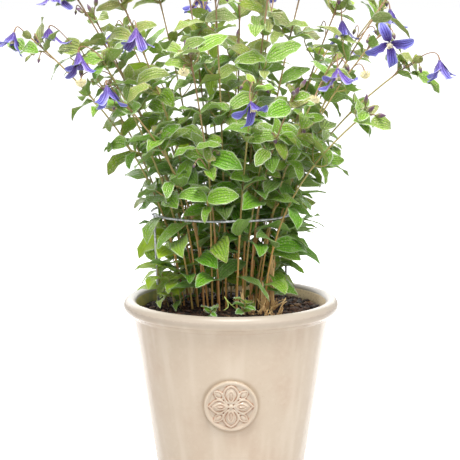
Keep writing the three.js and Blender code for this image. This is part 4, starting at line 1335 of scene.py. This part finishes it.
class CLEMATIS_OT_add_leafy_stems(PieceOperator, bpy.types.Operator):
    """Grow the stems with their leaves, flower stalks and buds"""

    bl_idname = "clematis.add_leafy_stems"
    bl_label = "Add Leafy Stems"

    def build(self, scene):
        self.stem, self.leaf = scene.clematis_stem, scene.clematis_leaf
        self.pattern = blade_pattern(4, 7)
        self.materials = [
            living_stem(self.stem),
            leaf_blade(self.leaf, under=False),
            leaf_blade(self.leaf, under=True),
            # Silky grey-white plant hair.
            plain_growth("plant_down", 0xE4E8DC, 0xC8D0BC, 0.7, 0.2),
            # Flower buds: dull purple at the tip and olive green where they join the stalk.
            plain_growth("flower_bud", 0x8A8A4C, 0x54324E, 0.5, 0.3),
        ]
        for index, stem in enumerate(STEMS):
            self.grow(index, stem)
        self.add_low_shoots()

    def grow(self, index, stem):
        """One stem with all that grows on it, as one piece."""
        name = f"leafy_stem_{index + 1:02d}"
        rng = random.Random(300 + index)
        curve = stem_curve(stem)
        plan = leaf_plan(stem, index, curve)
        skin = Skin()
        self.add_stem(skin, curve, [t for t, *_ in plan], rng)
        tips = packed_tips(name)
        for t, facing, share, leaves in plan:
            height = (bezier(curve, t).z - SOIL_TOP) / LEAVES_TALL
            for leaf in leaves:
                blade = as_packed(tips, curve, t, leaf, self.leaf)
                if blade is None and height > BARE_BELOW:
                    blade = leaf_on(curve, t, leaf, self.leaf)
                if blade:
                    self.add_leaf(skin, blade, height, rng)
            self.add_side_shoot(skin, curve, t, facing, share, height, rng)
        for stem_index, start, at, faces, *_ in FLOWERS + FADED:
            if stem_index == index:
                self.add_stalk(skin, curve, start, Vector(at) * MM, Vector(faces).normalized())
        if stem[7]:
            self.add_tip_buds(skin, curve, stem[6] + 45, rng)
        else:
            self.add_nodding_buds(skin, curve, rng)
        made = skin.piece(f"{name}_fine", self.materials)
        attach(made, "root")
        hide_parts(name)

    def add_low_shoots(self):
        """Short shoots among the feet of the stems, with their leaves close above the compost."""
        rng = random.Random(77)
        skin = Skin()
        for x, y, lean_x, lean_y, tall, size, youth_and_painted_light in LOW_SHOOTS:
            foot = Vector((x * MM, y * MM, SOIL_TOP - 4 * MM))
            end = foot + Vector((lean_x, lean_y, tall)) * MM
            above, below = Vector((0, 0, 6 * MM)), Vector((0, 0, tall * 0.3 * MM))
            shoot = (foot, foot.lerp(end, 0.3) + above, end - below, end)
            add_curved_tube(skin, shoot, 8, 0.9 * MM, 6, (0.9, 0.3, 0, 1))
            heading = rng.uniform(0, 90)
            for pair, at in enumerate((0.3, 0.55, 0.8, 1.0) if tall > 50 else (0.5, 0.75, 1.0)):
                for side in (0, 180):
                    facing = heading + side + 90 * pair
                    leaf = drawn_leaf(rng, facing, (10, 50), (30, 90), 30, size, (0.7, 1.05))
                    # Painted light and shade: a shoot's youth darkens the leaves behind as shaded and
                    # brightens those at the left edge as backlit.
                    young = clamped(youth_and_painted_light - rng.uniform(0, 0.15))
                    self.add_leaf(skin, leaf_on(shoot, at, leaf, self.leaf), 0.1, rng, youth_and_painted_light=young)
        made = skin.piece("low_shoots", self.materials)
        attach(made, "root")

    def add_stem(self, skin, curve, nodes, rng):
        """A stem with a swelling at each leaf pair."""
        length = (curve[3] - curve[0]).length
        swellings = {n + d * MM / length for n in nodes for d in (-3, 0, 3)}
        steps = [t for t in sorted({i / 22 for i in range(23)} | swellings) if 0 <= t <= 1]
        hue = rng.random()
        radii, tints = [], []
        for t in steps:
            near = min(abs(t - n) * length for n in nodes)
            radius = self.stem.radius + (self.stem.tip_radius - self.stem.radius) * t
            radii.append(radius * (1 + 0.5 * math.exp(-((near / (2.4 * MM)) ** 2))))
            tints.append((hue, (bezier(curve, t).z - SOIL_TOP) / STEMS_TALL, 0, 1))
        add_tube(skin, [bezier(curve, t) for t in steps], radii, 7, 0, tints)

    def add_leaf(self, skin, blade, height, rng, youth_and_painted_light=None, olive=None):
        """One leaf, with its own fold, waves and colour. Its youth_and_painted_light runs from 0, painted
        dark as a leaf in shade, to 1, a yellow green that is partly young growth and partly painted light
        through the leaf, and olive from 0, downy grey, to 1, olive."""
        if rng.random() < 0.7:
            faced_out(blade, rng.uniform(0.1, 0.5) + 0.5 * clamped(height, 0.7))
        blade.powers = (rng.uniform(0.55, 0.72), rng.uniform(0.85, 1.1) - 0.22 * clamped(height))
        blade.length *= 1 + 0.3 * clamped(height - 0.4, 0.5)
        blade.width *= rng.uniform(0.74, 0.92) + 0.26 * clamped(height, 0.6)
        blade.droop *= rng.uniform(0.6, 1.0)
        blade.cup = rng.uniform(0.08, 0.4)
        blade.waves, blade.phase = rng.uniform(1.3, 2.6), rng.random()
        blade.wave = rng.uniform(0.02, 0.055) * blade.length * (1 + 0.9 * clamped(height))
        blade.twist = rng.uniform(-0.7, 0.7)
        blade.curl, blade.sway = rng.uniform(-0.1, 0.5), rng.uniform(-0.08, 0.08)
        age = clamped(height + rng.uniform(-0.18, 0.18))
        # Each leaf's tone is drawn at random, and that paints light and shade: some leaves dark as if shaded,
        # some a bright yellow green as if lit through. More leaves low on the left and half way up at the
        # back are painted this bright yellow green, as backlit leaves. Of those in front few are.
        pale = 0.5 * (blade.origin[0] < -0.055) * (blade.origin[2] < 0.36)
        pale = pale + 0.3 * (blade.origin[1] > 0.045) * (0.2 < height < 0.9)
        youth_and_light_tone = min(1.0, rng.random() + pale) if youth_and_painted_light is None else youth_and_painted_light
        if youth_and_painted_light is None and not pale and blade.origin[1] < 0 and height < 0.6:
            youth_and_light_tone = min(youth_and_light_tone, 0.91)
        tint = (youth_and_light_tone, age, 0, rng.random() if olive is None else olive)
        add_blade(skin, blade, self.pattern, self.leaf.thick, (1, 2), tint)
        add_hairs(skin, blade, 3, rng)

    def add_side_shoot(self, skin, curve, t, facing, share, height, rng):
        """Short shoots in the angles between a pair and the stem, each with small leaves of its own."""
        for turn in (0, 180):
            # In front, few of them grow low down, where the stems show.
            bare = 4 * max(0.0, 0.36 - height) if bezier(curve, t).y < 0.012 else 0.0
            if rng.random() < 0.3 + bare + max(0.0, share - 0.7):
                continue
            up = heading_of(curve, t)
            out = square_to(up, facing + turn + rng.uniform(-35, 35) + 45)
            start = bezier(curve, t)
            tall = rng.uniform(14, 52) * MM * (1 - 0.45 * share)
            end = start + up * (tall * 0.8) + out * (tall * 0.75)
            shoot = (start, start + (up + out) * (tall * 0.25), end - up * (tall * 0.3), end)
            add_curved_tube(skin, shoot, 6, 0.8 * MM, 5, (0.6, height, 0, 1))
            heading = rng.uniform(0, 180)
            for at, size in ((0.55, 0.62), (1.0, 0.84)):
                if at < 1 and rng.random() < 0.45:
                    continue
                for side in (0, 180):
                    facing_out = heading + side + 90 * (at < 1)
                    leaf = drawn_leaf(rng, facing_out, (5, 50), (25, 80), 30, size, (0.75, 1.1))
                    self.add_leaf(skin, leaf_on(shoot, at, leaf, self.leaf), height + 0.1, rng)

    def add_stalk(self, skin, curve, start, at, faces):
        """The hooked stalk of a flower."""
        t = min(start, 0.995)
        path = hook(bezier(curve, t), heading_of(curve, t), at + faces * 0.5 * MM, faces)
        steps = [i / 14 for i in range(15)]
        radii = [(1.0 - 0.25 * math.sin(math.pi * s)) * MM * (0.9 + 0.35 * s**6) for s in steps]
        add_curved_tube(skin, path, 14, radii, 6, YOUNG_BARK)

    def add_bud(self, skin, base, axis, length, radius, rng):
        """A pointed bud with four ridges, where its sepals meet."""
        first = square_to(axis, rng.uniform(0, 90))
        second = axis.cross(first)
        points, tints = [], []
        for share, swell in BUD_ROWS:
            for j in range(BUD_SIDES):
                turn = 2 * math.pi * j / BUD_SIDES
                out = radius * swell * (1.08 if j % 2 else 0.92)
                way = first * math.cos(turn) + second * math.sin(turn)
                points.append(base + axis * (length * share) + way * out)
                tints.append((rng.random(), min(1.0, share * 1.6), 0, 1))
        points.append(base + axis * length)
        tints.append((0, 1, 0, 1))
        faces = closed_rings(len(BUD_ROWS), BUD_SIDES)
        skin.add(points, faces, 4, [(0, 0)] * len(points), tints)

    def add_tip_buds(self, skin, curve, heading, rng):
        """The bud that ends a stem, and two that splay beside it on their own stalks."""
        along = heading_of(curve, 1)
        self.add_bud(skin, bezier(curve, 1), along, BUD_LENGTH * 1.3, BUD_RADIUS * 1.2, rng)
        self.add_bracts(skin, curve, 0.982, heading + 90, 0.42, rng)
        splay = math.radians(BUD_SPLAY)
        for turn in (0, 180):
            axis = along * math.cos(splay) + square_to(along, heading + turn) * math.sin(splay)
            start = bezier(curve, 0.985)
            end = start + axis * BUD_STALK
            path = []
            for s in (0, 0.25, 0.5, 0.75, 1):
                path.append(start.lerp(end, s) + along * (2.2 * MM * math.sin(math.pi * s)))
            add_tube(skin, path, 0.8 * MM, 6, 0, YOUNG_BARK)
            self.add_bud(skin, end - axis * MM, axis, BUD_LENGTH * 1.3, BUD_RADIUS * 1.2, rng)

    def add_bracts(self, skin, curve, t, heading, size, rng):
        """The two small upright leaves that cup the buds at a tip, olive or browned."""
        for side in (0, 180):
            leaf = drawn_leaf(rng, heading + side, (50, 74), (20, 60), 20, size, (0.8, 1.2))
            blade = leaf_on(curve, t, leaf, self.leaf)
            blade.lift = math.radians(leaf["lift"])
            self.add_leaf(skin, blade, 0.8, rng, olive=rng.uniform(0.7, 1.0))

    def add_nodding_buds(self, skin, curve, rng):
        """Young buds that nod on thin stalks from the highest leaf pairs."""
        self.add_bracts(skin, curve, 0.985, rng.uniform(0, 180), 0.34, rng)
        for _ in range(rng.choice((1, 2, 2, 3))):
            t = rng.uniform(0.86, 0.97)
            along = heading_of(curve, t)
            out = square_to(along, rng.uniform(0, 360))
            start = bezier(curve, t)
            end = start + along * rng.uniform(12, 26) * MM + out * rng.uniform(10, 20) * MM
            down = (Vector((0, 0, -1)) + out * rng.uniform(0.1, 0.9)).normalized()
            path = hook(start, (along + out * 0.4).normalized(), end, down)
            add_curved_tube(skin, path, 9, 0.7 * MM, 5, YOUNG_BARK)
            size = rng.uniform(0.6, 1.05)
            self.add_bud(skin, end - down * MM * 0.5, down, BUD_LENGTH * size, BUD_RADIUS * size * 1.15, rng)


class CLEMATIS_OT_add_flowers(PieceOperator, bpy.types.Operator):
    """Hang the nodding flowers on their stalks, and the faded ones with them"""

    bl_idname = "clematis.add_flowers"
    bl_label = "Add Flowers"

    def build(self, scene):
        self.flower = scene.clematis_flower
        self.pattern = blade_pattern(10, 10)
        self.materials = [
            sepal_skin(self.flower, outer=False),
            sepal_skin(self.flower, outer=True),
            # Stamens: cream filaments with pollen-yellow anthers.
            plain_growth("stamen", self.flower.stamen, 0xF2E8BC, 0.6, 0.1),
            plain_growth("flower_base", 0x4B3A5A, 0x6A5A8A, 0.5, 0.2),
        ]
        for index, (_, _, at, faces, spread, turn) in enumerate(FLOWERS):
            rng = random.Random(700 + index)
            base, along = Vector(at) * MM, Vector(faces).normalized()
            skin = Skin()
            self.add_sepals(skin, base, along, spread, turn, rng)
            self.add_heart(skin, base, along, 30, 0.3, 11 * MM, rng)
            name = f"flower_{index + 1:02d}"
            made = skin.piece(f"{name}_fine", self.materials)
            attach(made, "root")
            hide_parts(name)
        skin = Skin()
        for index, (_, _, at, faces) in enumerate(FADED):
            rng = random.Random(900 + index)
            self.add_heart(skin, Vector(at) * MM, Vector(faces).normalized(), 150, 2.3, 5.2 * MM, rng)
        made = skin.piece("faded_flowers", self.materials)
        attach(made, "root")

    def add_sepals(self, skin, base, along, spread, turn, rng):
        """Four sepals round a base, each curled and twisted in its own way."""
        facing = square_to(along, turn)
        hue = rng.random()
        for side in range(4):
            flare = spread + (9 if side % 2 else -4)
            out = Matrix.Rotation(side * math.pi / 2, 3, along) @ facing
            length = self.flower.sepal_length * (0.96 if side % 2 else 1.04)
            blade = Blade(
                base + along * MM + out * (HEART_RADIUS * 0.7),
                out,
                along,
                math.radians(90 - flare * 0.55),
                math.radians(flare * 0.95),
                0.0,
                length,
                self.flower.sepal_width,
                SEPAL_POWERS,
            )
            blade.cup = rng.uniform(0.1, 0.45)
            blade.waves, blade.phase = rng.uniform(3, 5), rng.random()
            blade.wave = rng.uniform(0.8, 1.5) * MM
            blade.twist = rng.uniform(-1.3, 1.3)
            blade.curl, blade.sway = rng.uniform(0.3, 1.7), rng.uniform(-0.22, 0.22)
            blade.ribs = 0.45 * MM
            add_blade(skin, blade, self.pattern, 0.8 * MM, (0, 1), (hue, 0.5, 0, 1))

    def add_heart(self, skin, base, along, count, flare, reach, rng):
        """The stamens: a sheaf of fine filaments that spread by up to `flare`, each with an anther."""
        dome = [base + along * d * MM for d in (-0.4, 0.6, 1.8, 3.0)]
        add_tube(skin, dome, [1.0 * MM, 2.1 * MM, 2.3 * MM, 1.6 * MM], 8, 3, (0, 0.5, 0, 1))
        for k in range(count):
            way = square_to(along, GOLDEN_TURN * k)
            inner = math.sqrt((k + 0.5) / count)
            start = base + along * 1.6 * MM + way * (1.5 * inner * MM)
            lean = flare * inner * rng.uniform(0.8, 1.2)
            axis = along * math.cos(lean) + way * math.sin(lean)
            long = reach * rng.uniform(0.85, 1.1)
            middle = start + (along + axis).normalized() * (long * 0.5)
            end = middle + axis * (long * 0.5)
            add_tube(skin, [start, middle, end], [0.26 * MM, 0.24 * MM, 0.18 * MM], 3, 2, (0, 0.0, 0, 1))
            pod = [end - axis * 0.5 * MM, end + axis * 0.3 * MM, end + axis * 1.2 * MM]
            add_tube(skin, pod, [0.3 * MM, 0.5 * MM, 0.3 * MM], 4, 2, (0, 0.9, 0, 1))


class CLEMATIS_OT_add_old_growth(PieceOperator, bpy.types.Operator):
    """Add last year's dry stems and a thin pale shoot at the foot of the plant"""

    bl_idname = "clematis.add_old_growth"
    bl_label = "Add Old Growth"

    def build(self, scene):
        rng = random.Random(41)
        skin = Skin()
        for _ in range(26):
            foot = Vector((rng.uniform(16, 60), rng.uniform(-62, -14), DRY_FOOT)) * MM
            lean = Vector((rng.uniform(-0.9, 0.9), rng.uniform(-0.9, 0.3), 1)).normalized()
            tall = rng.choice((16, 24, 32, 42)) * MM
            for _ in range(6):
                self.strand(skin, foot, lean, tall * rng.uniform(0.5, 1.1), rng.uniform(0.5, 1.1) * MM, rng)
        # The cut stalks still stand, thick and split at their ends.
        for x, y, tall in CUT_STALKS:
            lean = Vector((rng.uniform(-0.05, 0.15), rng.uniform(-0.1, 0.1), 1)).normalized()
            for thick in (1.9, 1.3, 0.8):
                height = tall * (0.75 + 0.2 * thick / 1.9) * MM
                foot = Vector((x, y, DRY_FOOT)) * MM
                self.strand(skin, foot, lean, height, thick * MM, rng, peel=2.5 * MM)
        made = skin.piece("dry_stalks", [dry_fibre()], smooth=50)
        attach(made, "root")
        skin = Skin()
        path, radii = [], []
        for i in range(25):
            s = i / 24
            across, up = 6 - 17 * s + 5 * math.sin(9 * s), 254 + 26 * math.sin(2.6 * s) + 3 * math.cos(11 * s)
            path.append(Vector((across * MM, (-56 - 20 * s) * MM, up * MM)))
            radii.append((0.9 - 0.5 * i / 24) * MM)
        add_tube(skin, path, radii, 6, 0, (0.3, 0.5, 0, 1))
        # A young shoot that has seen little light.
        pale = plain_growth("pale_shoot", 0xB9CC6A, 0xA8C05A, 0.5, 0.2)
        made = skin.piece("pale_shoot", [pale], smooth=60)
        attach(made, "root")

    def strand(self, skin, foot, lean, tall, thick, rng, peel=9 * MM):
        """One split strand of a dry stem, which peels away from the others as it rises."""
        away = square_to(lean, rng.uniform(0, 360))
        aside = lean.cross(away)
        peel, bend, phase = peel * rng.uniform(0.1, 1.0), rng.uniform(0.5, 2.6), rng.uniform(0, 6.3)
        path = []
        for i in range(9):
            s = i / 8
            curl = away * (1.2 * MM + peel * s * s * math.cos(bend * 2 * s))
            path.append(foot + lean * (tall * s) + curl + aside * (bend * MM * math.sin(5 * s + phase)))
        radii = [thick * (1 - 0.5 * i / 8) for i in range(9)]
        add_tube(skin, path, radii, 5, 0, (rng.random(), 0.5, 0, 1))


class CLEMATIS_OT_set_stage(PieceOperator, bpy.types.Operator):
    """Set the floor, the lights and the camera"""

    bl_idname = "clematis.set_stage"
    bl_label = "Set Stage"

    def build(self, scene):
        stage = scene.clematis_stage
        deselect()
        bpy.ops.mesh.primitive_plane_add(size=60)
        floor = bpy.context.object
        floor.name = "floor"
        material, tree = new_material("matt_white_floor")
        # The floor is seen as white as the room, and throws back only half of the light on it.
        direct = add(tree, "LightPath").outputs["Is Camera Ray"]
        glow = add(tree, "Math", {0: direct, 1: 0.72}, operation="MULTIPLY").outputs[0]
        white = (1, 1, 1, 1)
        looks = {"Base Color": stage.floor, "Roughness": 0.9, "Emission Color": white}
        shader = add(tree, "BsdfPrincipled", looks | {"Emission Strength": glow})
        floor.data.materials.append(finished(material, shader))
        for name, lamp in LAMPS.items():
            self.lamp(name, *lamp)
        # Two cards of light lie behind the pot and show as bright bands down its sides.
        right, back, high = CARD_PLACE
        for side in (-1, 1):
            card = self.lamp(f"card_{side}", (right * side, back, high), (0, 0, 1), CARD_SIZE, CARD_POWER)
            card.rotation_euler = (math.pi, 0, math.radians(-CARD_TURN * side))
        world = bpy.data.worlds.new("white_room")
        scene.world = world
        world.use_nodes = True
        sky = world.node_tree.nodes["Background"]
        sky.inputs[0].default_value = (1, 1, 1, 1)
        sky.inputs[1].default_value = stage.sky
        scene.view_settings.view_transform = "Standard"
        away = Vector((0, -math.cos(stage.elevation), math.sin(stage.elevation))) * stage.distance
        camera = bpy.data.cameras.new("camera")
        camera.lens = stage.lens
        camera.sensor_width = 36
        view = bpy.data.objects.new("camera", camera)
        view.location = Vector((stage.target_x, 0, stage.target_z)) + away
        view.rotation_euler = (math.pi / 2 - stage.elevation, 0, 0)
        scene.collection.objects.link(view)
        scene.camera = view

    def lamp(self, name, place, aim, size, power):
        """An area lamp that the camera doesn't see."""
        light = bpy.data.lights.new(name, "AREA")
        light.shape = "RECTANGLE"
        light.size, light.size_y = size
        light.energy = power
        made = bpy.data.objects.new(name, light)
        made.location = place
        made.visible_camera = False
        made.rotation_euler = (Vector(aim) - Vector(place)).to_track_quat("-Z", "Y").to_euler()
        bpy.context.scene.collection.objects.link(made)
        return made


class CLEMATIS_PT_panel(bpy.types.Panel):
    """Buttons and settings of the potted clematis"""

    bl_label = "Potted Clematis"
    bl_idname = "CLEMATIS_PT_panel"
    bl_space_type = "VIEW_3D"
    bl_region_type = "UI"
    bl_category = "Clematis"

    def draw(self, context):
        for operator, groups in ORDER:
            box = self.layout.box()
            box.operator(operator.bl_idname)
            for group in groups:
                settings = getattr(context.scene, group)
                for key in settings.bl_rna.properties.keys():
                    if key not in ("rna_type", "name"):
                        box.prop(settings, key)


GROUPS = {
    "clematis_pot": PotSettings,
    "clematis_compost": CompostSettings,
    "clematis_wire": WireSettings,
    "clematis_stem": StemSettings,
    "clematis_leaf": LeafSettings,
    "clematis_flower": FlowerSettings,
    "clematis_stage": StageSettings,
}
# The operators in the order that they run, and the settings that each reads.
ORDER = (
    (CLEMATIS_OT_add_pot, ("clematis_pot",)),
    (CLEMATIS_OT_add_compost, ("clematis_compost",)),
    (CLEMATIS_OT_add_wire_support, ("clematis_wire",)),
    (CLEMATIS_OT_add_leafy_stems, ("clematis_stem", "clematis_leaf")),
    (CLEMATIS_OT_add_flowers, ("clematis_flower",)),
    (CLEMATIS_OT_add_old_growth, ()),
    (CLEMATIS_OT_set_stage, ("clematis_stage",)),
)
CLASSES = (*GROUPS.values(), *(operator for operator, _ in ORDER), CLEMATIS_PT_panel)


def register():
    """Make the classes known, and give the scene their settings."""
    for kind in CLASSES:
        bpy.utils.register_class(kind)
    for name, group in GROUPS.items():
        setattr(bpy.types.Scene, name, bpy.props.PointerProperty(type=group))


def unregister():
    """Take back what register did."""
    for name in GROUPS:
        delattr(bpy.types.Scene, name)
    for kind in reversed(CLASSES):
        bpy.utils.unregister_class(kind)


def main():
    """Build the object piece by piece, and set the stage."""
    register()
    bpy.ops.clematis.add_pot()
    bpy.ops.clematis.add_compost()
    bpy.ops.clematis.add_wire_support()
    bpy.ops.clematis.add_leafy_stems()
    bpy.ops.clematis.add_flowers()
    bpy.ops.clematis.add_old_growth()
    bpy.ops.clematis.set_stage()


if __name__ == "__main__":
    main()
